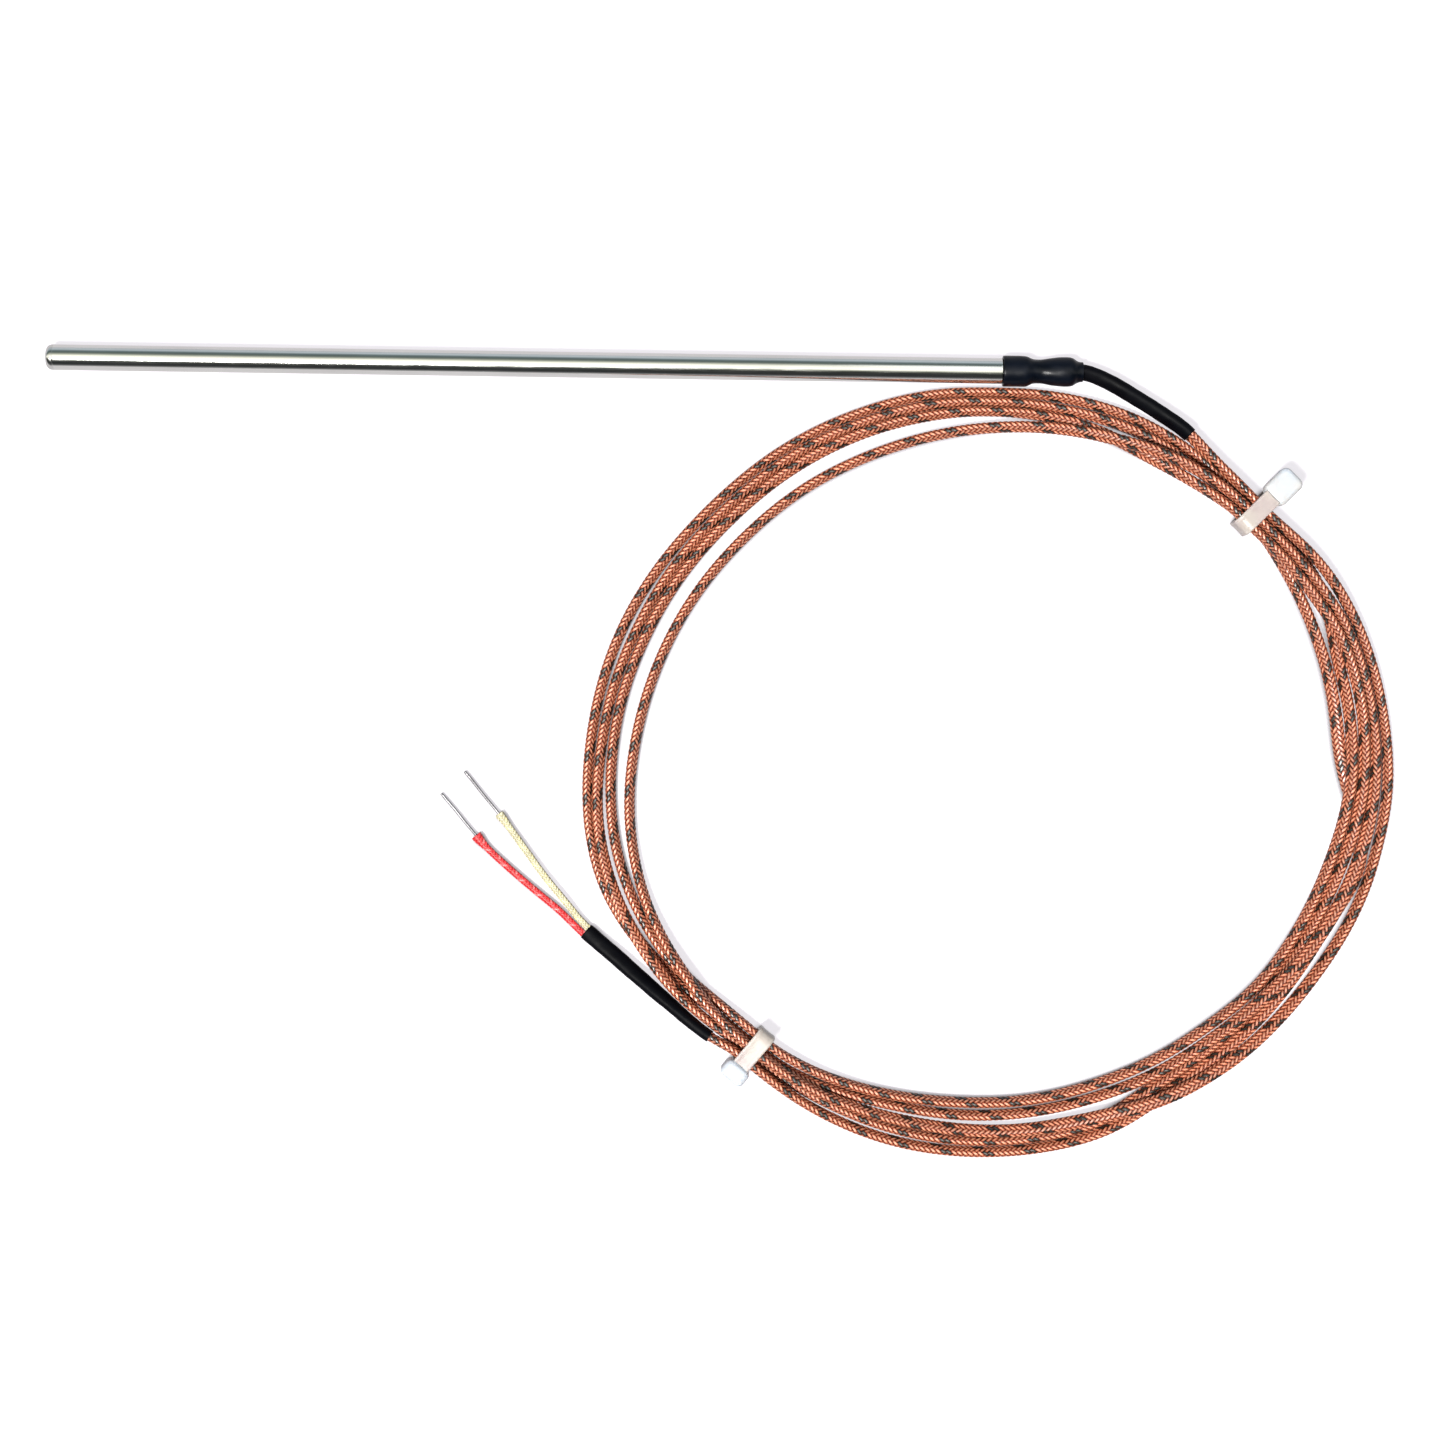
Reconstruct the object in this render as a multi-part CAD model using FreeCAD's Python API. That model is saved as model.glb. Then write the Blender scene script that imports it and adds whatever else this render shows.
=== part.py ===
import FreeCAD, Part
import math
import os

# Probe thermocouple with a closed metal sheath and a coiled, braided two-core cable.
# Frame: the sheath axis is +X with the closed tip at the origin, +Z is up.
# The part lies flat: the cable leaves the sheath towards +X and coils on the -Y side.

Vector = FreeCAD.Vector
ORIGIN = Vector(0, 0, 0)
X_AXIS, Y_AXIS, Z_AXIS = Vector(1, 0, 0), Vector(0, 1, 0), Vector(0, 0, 1)

# ---------------------------------------------------------------- sheath sizes
SHEATH_OD = 5.0
SHEATH_WALL = 0.4
SHEATH_LEN = 200.0
TIP_LEN = 1.5              # solid closed tip
TIP_ROUND = 0.9
SPIGOT_LEN = 1.0           # part of the tip plug inside the tube
SPIGOT_GAP = 0.04
JOINT_GAP = 0.02           # between pieces that meet end to end
REAR_OD = 4.6              # swaged rear end under the boot
REAR_START = 186.2
REAR_RAMP = 0.2
CRIMP_X = 193.2            # middle of the rolled crimp
CRIMP_HALF = 0.9           # half width of the flat of the crimp
CRIMP_RAMP = 1.0
CRIMP_OD = 4.1

# ------------------------------------------------- sizes of pieces in the sheath
FILL_GAP = 0.06            # cement and seal to the tube wall
WIRE_D = 0.56              # bare thermoelement wire
WIRE_OFFSET = 0.8          # wires either side of the sheath axis
WIRE_END = 170.9           # thermoelements stop here inside the ferrules
JUNCTION_D = 1.6
JUNCTION_X = 4.4
JUNCTION_CUT = 5.0         # flat rear end of the junction
LOBE_RADIUS = 0.45
LOBE_SHIFT = 0.35          # lobes behind the junction centre
BEAD_OD = 4.0              # two-bore ceramic beads
BEAD_LEN = 19.5
BEAD_PITCH = 19.7
BEAD_FIRST = 7.0
BEAD_COUNT = 8
BEAD_BORE = 0.8
BEAD_CHAMFER = 0.25
FERRULE_OD = 1.4
FERRULE_ID = 0.72
FERRULE_START = 167.0
FERRULE_LEN = 8.2
SEAL_START, SEAL_END = 177.6, 182.6
SEAL_BORE_GAP = 0.1
BUSH_START, BUSH_END = 189.0, 199.0
BUSH_WALL_GAP = 0.1
OVERCUT = 1                # bores run past both ends by this much

# ----------------------------------------------------------------- cable sizes
CABLE_THICK = 1.75         # flat oval braided cable
CABLE_WIDE = 2.65
BRAID_WALL = 0.15
BRAID_START = 188.0
CORE_OFFSET = 0.56         # conductor axis to cable axis
CORE_OD = 0.96
CORE_ID = 0.74
CORE_INSULATION_START = 176.4
CORE_WIRE_START = WIRE_END + 0.2
CORE_MERGE_START = 182.8   # the cores close up from here, over CORE_MERGE_LEN
CORE_MERGE_LEN = 4.6
LEAD_OD = 1.4              # loosened conductor braid of the free leads
LEAD_ID = 0.78
LEAD_MOUTH_OFFSET = 0.75
BARE_LEN = 10.6            # straight bare wire past the lead braid
SLEEVE_START = 200.3
SLEEVE_WALL = 0.2
SLEEVE_GAP = 0.1

# ------------------------------------------------------------- cable tie sizes
TIE_WIDTH = 3.6
TIE_THICK = 1.0
TIE_GAP = 0.12             # strap to cable bundle
TIE_HEAD_WIDTH = 5.3
TIE_HEAD_LEN = 6.6
UPPER_HEAD_DEPTH = 3.8
LOWER_HEAD_DEPTH = 3.5
TIE_SLOT_GAP = 0.7         # slot height over the strap thickness
TIE_SLOT_SIDE = 0.15       # slot to strap edge
COIL_X, COIL_Y = 185.244, -78.023    # coil centre

# Cable centre line: x, y, z, roll of the wide axis from vertical in degrees.
# A station is a row number, which may be fractional; the rows are CABLE_STEP apart.
CABLE_STEP = 4.6002
CABLE = [
    (169.938, -0.000, 0.000, 50.0), (174.538, 0.000, 0.000, 50.0), (179.138, -0.000, 0.000, 50.0),
    (183.738, 0.000, 0.000, 50.0), (188.339, -0.000, 0.000, 50.0), (192.939, -0.000, 0.000, 50.0),
    (197.539, 0.000, 0.000, 50.3), (202.135, -0.080, 0.020, 49.9), (206.540, -1.600, 0.120, 49.1),
    (210.620, -3.830, 0.240, 47.6), (214.570, -6.217, 0.397, 45.3), (218.451, -8.678, 0.611, 41.7),
    (222.159, -11.380, 0.883, 36.6), (225.404, -14.621, 1.208, 29.8), (228.600, -17.909, 1.561, 21.7),
    (231.930, -21.070, 1.849, 12.6), (235.192, -24.305, 2.074, 5.4), (238.472, -27.530, 2.069, 4.2),
    (241.963, -30.503, 1.732, 6.4), (245.434, -33.486, 1.274, 9.8), (248.649, -36.733, 0.761, 13.8),
    (251.511, -40.300, 0.277, 17.3), (253.998, -44.144, -0.157, 20.0), (256.158, -48.187, -0.534, 21.9),
    (258.012, -52.383, -0.850, 23.2), (259.556, -56.709, -1.101, 23.9), (260.790, -61.135, -1.293, 24.3),
    (261.740, -65.633, -1.435, 24.5), (262.434, -70.179, -1.534, 24.4), (262.873, -74.757, -1.599, 24.0),
    (262.965, -79.355, -1.639, 23.4), (262.618, -83.940, -1.662, 22.6), (261.882, -88.480, -1.673, 21.4),
    (260.883, -92.970, -1.677, 20.1), (259.672, -97.407, -1.674, 19.6), (258.093, -101.727, -1.649, 22.3),
    (256.180, -105.909, -1.607, 26.0), (253.957, -109.935, -1.542, 29.7), (251.485, -113.813, -1.444, 33.5),
    (248.823, -117.562, -1.305, 37.3), (245.998, -121.187, -1.118, 41.2), (243.001, -124.667, -0.881, 45.2),
    (239.813, -127.971, -0.599, 49.6), (236.425, -131.066, -0.285, 54.5), (232.812, -133.896, 0.015, 60.0),
    (229.004, -136.463, 0.266, 65.6), (225.046, -138.797, 0.457, 70.5), (220.927, -140.842, 0.539, 73.4),
    (216.642, -142.510, 0.531, 74.6), (212.236, -143.828, 0.481, 74.4), (207.791, -144.983, 0.212, 70.1),
    (203.328, -146.058, -0.077, 65.3), (198.834, -147.007, -0.331, 61.1), (194.299, -147.746, -0.535, 57.3),
    (189.724, -148.197, -0.673, 53.9), (185.127, -148.313, -0.736, 50.5), (180.532, -148.110, -0.715, 46.9),
    (175.958, -147.638, -0.604, 43.1), (171.418, -146.923, -0.403, 38.9), (166.928, -145.969, -0.118, 34.4),
    (162.500, -144.776, 0.241, 29.5), (158.150, -143.342, 0.659, 24.2), (153.899, -141.641, 1.096, 18.9),
    (149.777, -139.645, 1.517, 13.7), (145.821, -137.333, 1.916, 8.3), (142.044, -134.730, 2.244, 3.9),
    (138.480, -131.822, 2.276, 3.6), (134.992, -128.831, 2.102, 8.6), (131.769, -125.562, 1.829, 15.9),
    (128.836, -122.029, 1.568, 22.9), (126.108, -118.343, 1.215, 27.5), (123.532, -114.568, 0.693, 27.8),
    (121.203, -110.633, 0.204, 27.2), (119.198, -106.516, -0.227, 26.6), (117.569, -102.232, -0.596, 26.0),
    (116.328, -97.814, -0.899, 25.6), (115.455, -93.305, -1.139, 25.3), (114.937, -88.739, -1.322, 25.2),
    (114.786, -84.144, -1.456, 25.1), (114.999, -79.551, -1.548, 25.0), (115.530, -74.983, -1.610, 25.0),
    (116.334, -70.454, -1.649, 25.0), (117.405, -65.981, -1.672, 25.0), (118.744, -61.581, -1.685, 25.0),
    (120.349, -57.270, -1.691, 25.0), (122.216, -53.067, -1.695, 25.0), (124.344, -48.989, -1.696, 25.0),
    (126.732, -45.058, -1.697, 25.0), (129.378, -41.296, -1.697, 25.0), (132.260, -37.712, -1.697, 25.0),
    (135.346, -34.301, -1.697, 25.0), (138.606, -31.056, -1.697, 25.0), (142.036, -27.992, -1.696, 25.0),
    (145.647, -25.143, -1.695, 25.0), (149.445, -22.549, -1.693, 25.0), (153.415, -20.226, -1.687, 25.0),
    (157.526, -18.163, -1.677, 25.1), (161.748, -16.337, -1.658, 25.2), (166.059, -14.735, -1.626, 25.4),
    (170.452, -13.371, -1.574, 25.7), (174.921, -12.288, -1.495, 26.3), (179.451, -11.500, -1.379, 27.2),
    (184.019, -10.990, -1.218, 28.5), (188.607, -10.740, -1.002, 30.3), (193.198, -10.755, -0.724, 32.6),
    (197.774, -11.066, -0.377, 35.3), (202.310, -11.694, 0.044, 38.4), (206.785, -12.638, 0.538, 41.4),
    (211.206, -13.803, 1.038, 41.8), (215.595, -15.134, 1.392, 37.1), (219.887, -16.771, 1.608, 29.6),
    (224.007, -18.805, 1.792, 21.7), (227.924, -21.207, 1.988, 13.5), (231.622, -23.938, 2.108, 5.1),
    (235.039, -27.014, 2.119, 0.6), (238.356, -30.200, 2.046, 2.1), (241.684, -33.361, 1.753, 7.3),
    (244.861, -36.675, 1.466, 12.6), (247.867, -40.146, 1.204, 17.4), (250.663, -43.791, 0.962, 21.4),
    (253.136, -47.651, 0.620, 23.7), (255.196, -51.749, 0.279, 25.2), (256.862, -56.026, -0.003, 26.2),
    (258.179, -60.428, -0.205, 27.1), (259.171, -64.917, -0.322, 28.6), (259.844, -69.467, -0.359, 31.0),
    (260.178, -74.054, -0.324, 34.2), (260.147, -78.651, -0.230, 38.3), (259.734, -83.229, -0.085, 43.2),
    (258.938, -87.755, 0.095, 48.2), (257.768, -92.201, 0.206, 51.2), (256.265, -96.548, 0.282, 52.5),
    (254.456, -100.775, 0.378, 53.3), (252.353, -104.864, 0.497, 53.7), (249.954, -108.785, 0.632, 54.1),
    (247.253, -112.506, 0.753, 54.4), (244.287, -116.021, 0.811, 54.2), (241.110, -119.346, 0.764, 52.6),
    (237.771, -122.505, 0.588, 48.8), (234.308, -125.521, 0.319, 43.4), (230.729, -128.395, 0.031, 38.2),
    (227.043, -131.133, -0.253, 34.1), (223.248, -133.716, -0.537, 31.2), (219.310, -136.077, -0.806, 29.2),
    (215.216, -138.160, -1.041, 27.8), (210.990, -139.966, -1.234, 26.8), (206.663, -141.517, -1.386, 26.0),
    (202.255, -142.829, -1.497, 25.6), (197.781, -143.891, -1.575, 25.2), (193.251, -144.686, -1.626, 24.9),
    (188.680, -145.195, -1.656, 24.7), (184.085, -145.404, -1.672, 24.3), (179.487, -145.308, -1.675, 23.8),
    (174.904, -144.914, -1.666, 23.0), (170.350, -144.265, -1.643, 21.9), (165.829, -143.423, -1.599, 20.2),
    (161.342, -142.412, -1.525, 17.9), (156.908, -141.193, -1.408, 14.9), (152.560, -139.705, -1.218, 11.7),
    (148.363, -137.847, -0.948, 8.3), (144.366, -135.596, -0.619, 4.8), (140.659, -132.889, -0.417, 3.1),
    (137.098, -129.982, -0.525, 3.9), (133.499, -127.150, -0.959, 7.3), (129.876, -124.342, -1.349, 14.5),
    (126.278, -121.489, -1.619, 24.8), (122.851, -118.424, -1.739, 35.3), (119.604, -115.167, -1.780, 43.1),
    (116.568, -111.712, -1.793, 45.6), (113.820, -108.025, -1.781, 43.9), (111.440, -104.090, -1.763, 40.5),
    (109.539, -99.905, -1.745, 36.8), (108.156, -95.519, -1.730, 33.5), (107.236, -91.014, -1.718, 30.8),
    (106.724, -86.444, -1.710, 28.6), (106.577, -81.847, -1.704, 27.1), (106.738, -77.250, -1.701, 26.1),
    (107.158, -72.670, -1.699, 25.5), (107.825, -68.119, -1.698, 25.2), (108.753, -63.614, -1.697, 25.0),
    (109.956, -59.174, -1.697, 24.9), (111.450, -54.824, -1.696, 24.8), (113.241, -50.588, -1.696, 24.6),
    (115.320, -46.485, -1.695, 24.4), (117.663, -42.527, -1.694, 24.0), (120.243, -38.720, -1.692, 23.5),
    (123.037, -35.066, -1.690, 22.8), (126.015, -31.561, -1.688, 22.0), (129.153, -28.197, -1.685, 21.2),
    (132.429, -24.968, -1.683, 20.3), (135.845, -21.887, -1.681, 19.4), (139.414, -18.986, -1.679, 18.6),
    (143.150, -16.304, -1.677, 17.9), (147.052, -13.868, -1.675, 17.3), (151.104, -11.692, -1.675, 17.0),
    (155.286, -9.778, -1.674, 16.9), (159.572, -8.107, -1.675, 17.0), (163.941, -6.669, -1.675, 17.1),
    (168.390, -5.503, -1.675, 17.0), (172.913, -4.668, -1.674, 16.8), (177.486, -4.184, -1.673, 16.4),
    (182.083, -4.027, -1.674, 16.0), (186.683, -4.026, -1.675, 16.4), (191.281, -4.157, -1.675, 18.2),
    (195.863, -4.556, -1.673, 20.1), (200.408, -5.262, -1.664, 21.8), (204.890, -6.294, -1.645, 23.0),
    (209.283, -7.655, -1.609, 23.6), (213.557, -9.352, -1.548, 23.2), (217.677, -11.393, -1.456, 21.8),
    (221.599, -13.791, -1.325, 19.0), (225.279, -16.544, -1.152, 15.3), (228.738, -19.566, -0.923, 11.1),
    (232.070, -22.724, -0.633, 6.8), (235.354, -25.937, -0.421, 4.2), (238.653, -29.140, -0.494, 5.9),
    (242.103, -32.159, -0.875, 12.8), (245.337, -35.410, -1.203, 21.1), (248.010, -39.139, -1.449, 29.3),
    (250.014, -43.269, -1.662, 36.1), (251.357, -47.664, -1.704, 39.3), (252.259, -52.174, -1.608, 39.3),
    (253.193, -56.670, -1.350, 36.8), (254.254, -61.135, -1.028, 33.9), (255.059, -65.648, -0.668, 32.5),
    (255.495, -70.211, -0.282, 33.3), (255.657, -74.793, 0.085, 35.2), (255.410, -79.381, 0.191, 35.6),
    (254.735, -83.923, -0.039, 31.9), (253.733, -88.403, -0.324, 29.3), (252.418, -92.802, -0.596, 27.9),
    (250.889, -97.134, -0.835, 26.6), (249.157, -101.391, -1.031, 25.4), (247.196, -105.549, -1.186, 24.2),
    (244.984, -109.579, -1.302, 23.1), (242.527, -113.467, -1.399, 22.4), (239.801, -117.169, -1.488, 22.2),
    (236.724, -120.586, -1.557, 22.1), (233.307, -123.662, -1.607, 21.8), (229.677, -126.487, -1.642, 21.5),
    (225.953, -129.187, -1.666, 21.3), (222.125, -131.738, -1.681, 21.4), (218.146, -134.044, -1.686, 22.0),
    (214.016, -136.069, -1.689, 22.8), (209.770, -137.838, -1.691, 23.4), (205.439, -139.387, -1.692, 24.0),
    (201.036, -140.715, -1.690, 24.3), (196.556, -141.756, -1.686, 24.5), (192.010, -142.457, -1.676, 24.6),
    (187.427, -142.839, -1.659, 24.4), (182.828, -142.949, -1.630, 24.1), (178.230, -142.836, -1.586, 23.5),
    (173.642, -142.518, -1.523, 22.7), (169.075, -141.974, -1.435, 21.4), (164.548, -141.171, -1.321, 19.7),
    (160.078, -140.096, -1.184, 17.7), (155.688, -138.733, -1.020, 15.0), (151.409, -137.058, -0.827, 11.6),
    (147.288, -135.027, -0.616, 7.5), (143.376, -132.621, -0.423, 3.9), (139.796, -129.733, -0.414, 3.6),
    (136.220, -126.848, -0.627, 7.7), (132.608, -124.013, -0.894, 14.9), (128.974, -121.204, -1.153, 22.3),
    (125.496, -118.200, -1.314, 27.7), (122.401, -114.802, -1.410, 30.4), (119.691, -111.088, -1.491, 31.3),
    (117.318, -107.149, -1.557, 31.0), (115.291, -103.021, -1.607, 30.0), (113.637, -98.730, -1.643, 28.8),
    (112.394, -94.303, -1.667, 27.6), (111.576, -89.777, -1.681, 26.7), (111.151, -85.198, -1.689, 26.1),
    (111.068, -80.599, -1.692, 25.7), (111.291, -76.005, -1.692, 25.7), (111.808, -71.435, -1.689, 25.8),
    (112.631, -66.910, -1.683, 26.3), (113.779, -62.457, -1.672, 27.0), (115.240, -58.095, -1.655, 28.0),
    (116.967, -53.832, -1.630, 29.2), (118.924, -49.670, -1.596, 30.7), (121.115, -45.626, -1.552, 32.1),
    (123.555, -41.727, -1.497, 33.4), (126.245, -37.997, -1.434, 34.4), (129.161, -34.441, -1.368, 35.2),
    (132.264, -31.046, -1.306, 36.0), (135.525, -27.802, -1.253, 36.8), (138.940, -24.721, -1.212, 37.5),
    (142.524, -21.838, -1.177, 38.0), (146.285, -19.191, -1.147, 37.8), (150.211, -16.796, -1.119, 37.2),
    (154.283, -14.657, -1.096, 36.1), (158.485, -12.786, -1.075, 34.4), (162.804, -11.206, -1.062, 32.4),
    (167.223, -9.931, -1.055, 30.0), (171.715, -8.941, -1.048, 26.8), (176.258, -8.223, -1.044, 23.0),
    (180.841, -7.837, -1.042, 18.9), (185.440, -7.782, -1.073, 17.3), (190.034, -7.976, -1.172, 20.0),
    (194.597, -8.541, -1.291, 25.3), (199.109, -9.425, -1.399, 31.2), (203.536, -10.666, -1.481, 37.0),
    (207.819, -12.339, -1.519, 41.8), (211.934, -14.389, -1.399, 42.5), (215.951, -16.595, -1.005, 37.5),
    (219.924, -18.829, -0.386, 30.0), (223.826, -21.158, 0.325, 22.1), (227.607, -23.665, 1.086, 14.2),
    (231.259, -26.352, 1.862, 6.9), (234.634, -29.461, 2.073, 4.6), (238.011, -32.583, 2.000, 8.3),
    (241.295, -35.797, 1.805, 14.9), (244.351, -39.225, 1.550, 20.3), (247.260, -42.781, 1.318, 24.2),
    (249.998, -46.472, 1.125, 26.8), (252.418, -50.378, 0.977, 27.9), (254.389, -54.528, 0.788, 27.6),
    (255.901, -58.866, 0.581, 27.0), (257.011, -63.325, 0.409, 27.1), (257.675, -67.873, 0.279, 29.2),
    (257.948, -72.464, 0.197, 33.0), (257.901, -77.063, 0.158, 37.5), (257.503, -81.644, 0.150, 42.2),
    (256.702, -86.171, 0.050, 44.1), (255.544, -90.609, -0.283, 41.4), (254.117, -94.970, -0.608, 38.3),
    (252.470, -99.254, -0.904, 35.8), (250.599, -103.448, -1.172, 34.0), (248.503, -107.536, -1.405, 33.0),
    (246.196, -111.511, -1.586, 32.8), (243.687, -115.364, -1.695, 33.3), (240.994, -119.093, -1.731, 33.8),
    (238.100, -122.668, -1.725, 33.0), (234.975, -126.043, -1.692, 31.4), (231.619, -129.187, -1.660, 30.1),
    (228.059, -132.099, -1.645, 30.1), (224.363, -134.838, -1.652, 31.6), (220.617, -137.508, -1.687, 35.0),
    (216.860, -140.163, -1.734, 39.1), (213.087, -142.793, -1.773, 42.2), (209.162, -145.189, -1.761, 40.6),
    (204.958, -147.047, -1.732, 36.7), (200.552, -148.362, -1.720, 33.7), (196.046, -149.282, -1.710, 31.2),
    (191.490, -149.913, -1.700, 29.0), (186.903, -150.257, -1.690, 27.2), (182.304, -150.299, -1.677, 25.8),
    (177.713, -150.027, -1.657, 24.7), (173.152, -149.434, -1.626, 23.6), (168.645, -148.521, -1.577, 22.4),
    (164.214, -147.291, -1.505, 20.9), (159.876, -145.763, -1.404, 18.8), (155.634, -143.990, -1.268, 15.9),
    (151.485, -142.013, -1.095, 12.1), (147.454, -139.808, -0.885, 8.1), (143.555, -137.382, -0.619, 4.7),
    (139.851, -134.669, -0.410, 3.1), (136.284, -131.764, -0.352, 2.4), (132.654, -128.956, -0.045, 2.3),
    (129.071, -126.096, 0.340, 9.8), (125.666, -123.022, 0.658, 23.4), (122.564, -119.630, 0.798, 37.2),
    (119.728, -116.011, 0.741, 46.6), (117.120, -112.227, 0.531, 50.2), (114.768, -108.286, 0.234, 48.8),
    (112.740, -104.171, -0.084, 44.8), (111.092, -99.888, -0.379, 40.3), (109.836, -95.472, -0.645, 36.1),
    (108.996, -90.957, -0.881, 32.4), (108.577, -86.382, -1.087, 29.5), (108.561, -81.787, -1.258, 27.5),
    (108.864, -77.199, -1.394, 26.2), (109.389, -72.630, -1.497, 25.4), (110.135, -68.092, -1.571, 24.8),
    (111.166, -63.610, -1.622, 24.5), (112.520, -59.215, -1.654, 24.3), (114.165, -54.920, -1.673, 24.3),
    (116.045, -50.722, -1.685, 24.4), (118.142, -46.628, -1.692, 24.9), (120.469, -42.660, -1.698, 25.7),
    (123.038, -38.845, -1.703, 26.8), (125.846, -35.202, -1.708, 28.2), (128.860, -31.727, -1.715, 29.9),
    (132.043, -28.407, -1.722, 31.7), (135.373, -25.234, -1.730, 33.4), (138.851, -22.224, -1.735, 34.8),
    (142.489, -19.410, -1.737, 35.5), (146.299, -16.833, -1.735, 35.5), (150.280, -14.529, -1.730, 34.9),
    (154.408, -12.501, -1.726, 34.2), (158.654, -10.732, -1.721, 33.3), (162.992, -9.205, -1.702, 31.6),
    (167.408, -7.917, -1.672, 29.1), (171.898, -6.921, -1.634, 25.7), (176.451, -6.273, -1.591, 21.6),
    (181.041, -5.984, -1.549, 17.8), (185.640, -5.948, -1.536, 16.5), (190.237, -6.104, -1.563, 17.9),
    (194.811, -6.590, -1.573, 19.5), (199.351, -7.330, -1.559, 20.6), (203.844, -8.311, -1.524, 21.3),
    (208.255, -9.611, -1.463, 21.5), (212.550, -11.255, -1.374, 21.0), (216.710, -13.211, -1.258, 19.8),
    (220.677, -15.532, -1.116, 17.6), (224.361, -18.279, -0.953, 14.4), (227.810, -21.317, -0.779, 10.4),
    (231.113, -24.510, -0.548, 6.2), (234.355, -27.770, -0.408, 4.4), (237.481, -31.135, -0.555, 7.8),
    (240.203, -34.828, -0.887, 15.3), (242.696, -38.687, -1.088, 21.2), (244.954, -42.691, -1.247, 25.6),
    (246.958, -46.829, -1.385, 28.9), (248.716, -51.078, -1.500, 31.7), (250.227, -55.421, -1.596, 34.8),
    (251.452, -59.853, -1.680, 39.4), (252.383, -64.357, -1.767, 46.9), (253.067, -68.904, -1.858, 57.6),
    (253.725, -73.456, -1.955, 70.5), (254.732, -77.942, -2.039, 80.6), (256.033, -82.354, -2.052, 83.0),
    (257.283, -86.781, -2.041, 82.0), (257.974, -91.322, -2.028, 80.0), (257.512, -95.882, -1.992, 76.0),
    (255.821, -100.148, -1.969, 72.8), (253.474, -104.104, -1.948, 69.8), (251.076, -108.030, -1.924, 66.3),
    (248.679, -111.956, -1.895, 62.1), (246.205, -115.834, -1.863, 57.6), (243.562, -119.598, -1.837, 53.6),
    (240.710, -123.207, -1.821, 51.0), (237.630, -126.623, -1.813, 49.5), (234.323, -129.820, -1.807, 48.6),
    (230.816, -132.795, -1.801, 47.6), (227.163, -135.591, -1.796, 46.6), (223.451, -138.308, -1.793, 46.0),
    (219.762, -141.056, -1.780, 43.5), (216.033, -143.748, -1.757, 39.3), (212.145, -146.205, -1.734, 34.5),
    (208.029, -148.254, -1.715, 30.2), (203.699, -149.801, -1.702, 27.5), (199.241, -150.931, -1.682, 26.0),
    (194.715, -151.747, -1.655, 24.9), (190.146, -152.276, -1.616, 24.2), (185.553, -152.519, -1.555, 23.8),
    (180.955, -152.471, -1.463, 23.5), (176.370, -152.129, -1.331, 23.2), (171.820, -151.483, -1.150, 22.7),
    (167.329, -150.521, -0.910, 21.9), (162.925, -149.231, -0.604, 20.6), (158.633, -147.622, -0.235, 18.6),
    (154.464, -145.727, 0.197, 15.6), (150.432, -143.569, 0.688, 11.9), (146.561, -141.142, 1.213, 7.6),
    (142.845, -138.481, 1.730, 4.1), (139.240, -135.644, 2.037, 2.9), (135.596, -132.841, 1.981, 2.5),
    (131.588, -130.645, 1.474, 2.9), (127.838, -128.057, 0.869, 10.6), (124.305, -125.166, 0.305, 25.3),
    (120.776, -122.258, -0.195, 40.6), (117.260, -119.326, -0.648, 54.5), (113.754, -116.378, -1.067, 67.0),
    (110.228, -113.450, -1.456, 78.4), (106.679, -110.548, -1.798, 89.1),
]
SLEEVE_END = 12.227              # station where the strain relief sleeve stops
LEAD_SLEEVE_START = 459.095      # station where the lead end sleeve begins
LEAD_SLEEVE_END = float(len(CABLE) - 1)
BRAID_END = LEAD_SLEEVE_END - 1.3
BRAID_SPLIT = SLEEVE_END - 0.6   # station inside the strain relief sleeve
BRAID_SPLIT_GAP = 0.06           # in stations
CORE_END = LEAD_SLEEVE_END - 0.1 / CABLE_STEP

# Free leads from the sleeve mouth to the end of their braid: x, y, z.
# The bare wire goes straight on.
NEGATIVE_LEAD = [
    (105.895, -110.875, -1.816), (104.722, -109.955, -1.930), (103.679, -108.900, -2.018),
    (102.762, -107.716, -2.071), (101.799, -106.578, -2.110), (100.695, -105.584, -2.145),
    (99.498, -104.683, -2.176), (98.277, -103.805, -2.197), (97.091, -102.888, -2.207),
    (95.947, -101.926, -2.209), (94.831, -100.936, -2.207), (93.726, -99.933, -2.209),
    (92.618, -98.935, -2.220), (91.493, -97.956, -2.241), (90.346, -97.002, -2.260),
    (89.174, -96.075, -2.257), (87.974, -95.179, -2.215), (86.777, -94.280, -2.144),
    (85.743, -93.219, -2.151), (84.780, -92.075, -2.200),
]
POSITIVE_LEAD = [
    (106.846, -109.716, -1.840), (105.674, -108.778, -1.980), (104.661, -107.713, -1.873),
    (103.820, -106.511, -1.499), (102.980, -105.306, -1.134), (101.992, -104.217, -1.017),
    (100.876, -103.227, -1.136), (99.711, -102.271, -1.382), (98.578, -101.282, -1.647),
    (97.549, -100.203, -1.835), (96.623, -99.032, -1.935), (95.765, -97.802, -1.982),
    (94.940, -96.540, -2.007), (94.112, -95.278, -2.044), (93.257, -94.037, -2.116),
    (92.417, -92.792, -2.182), (91.652, -91.507, -2.181), (91.000, -90.156, -2.068),
    (90.172, -88.929, -2.043), (89.202, -87.778, -2.100),
]

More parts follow.
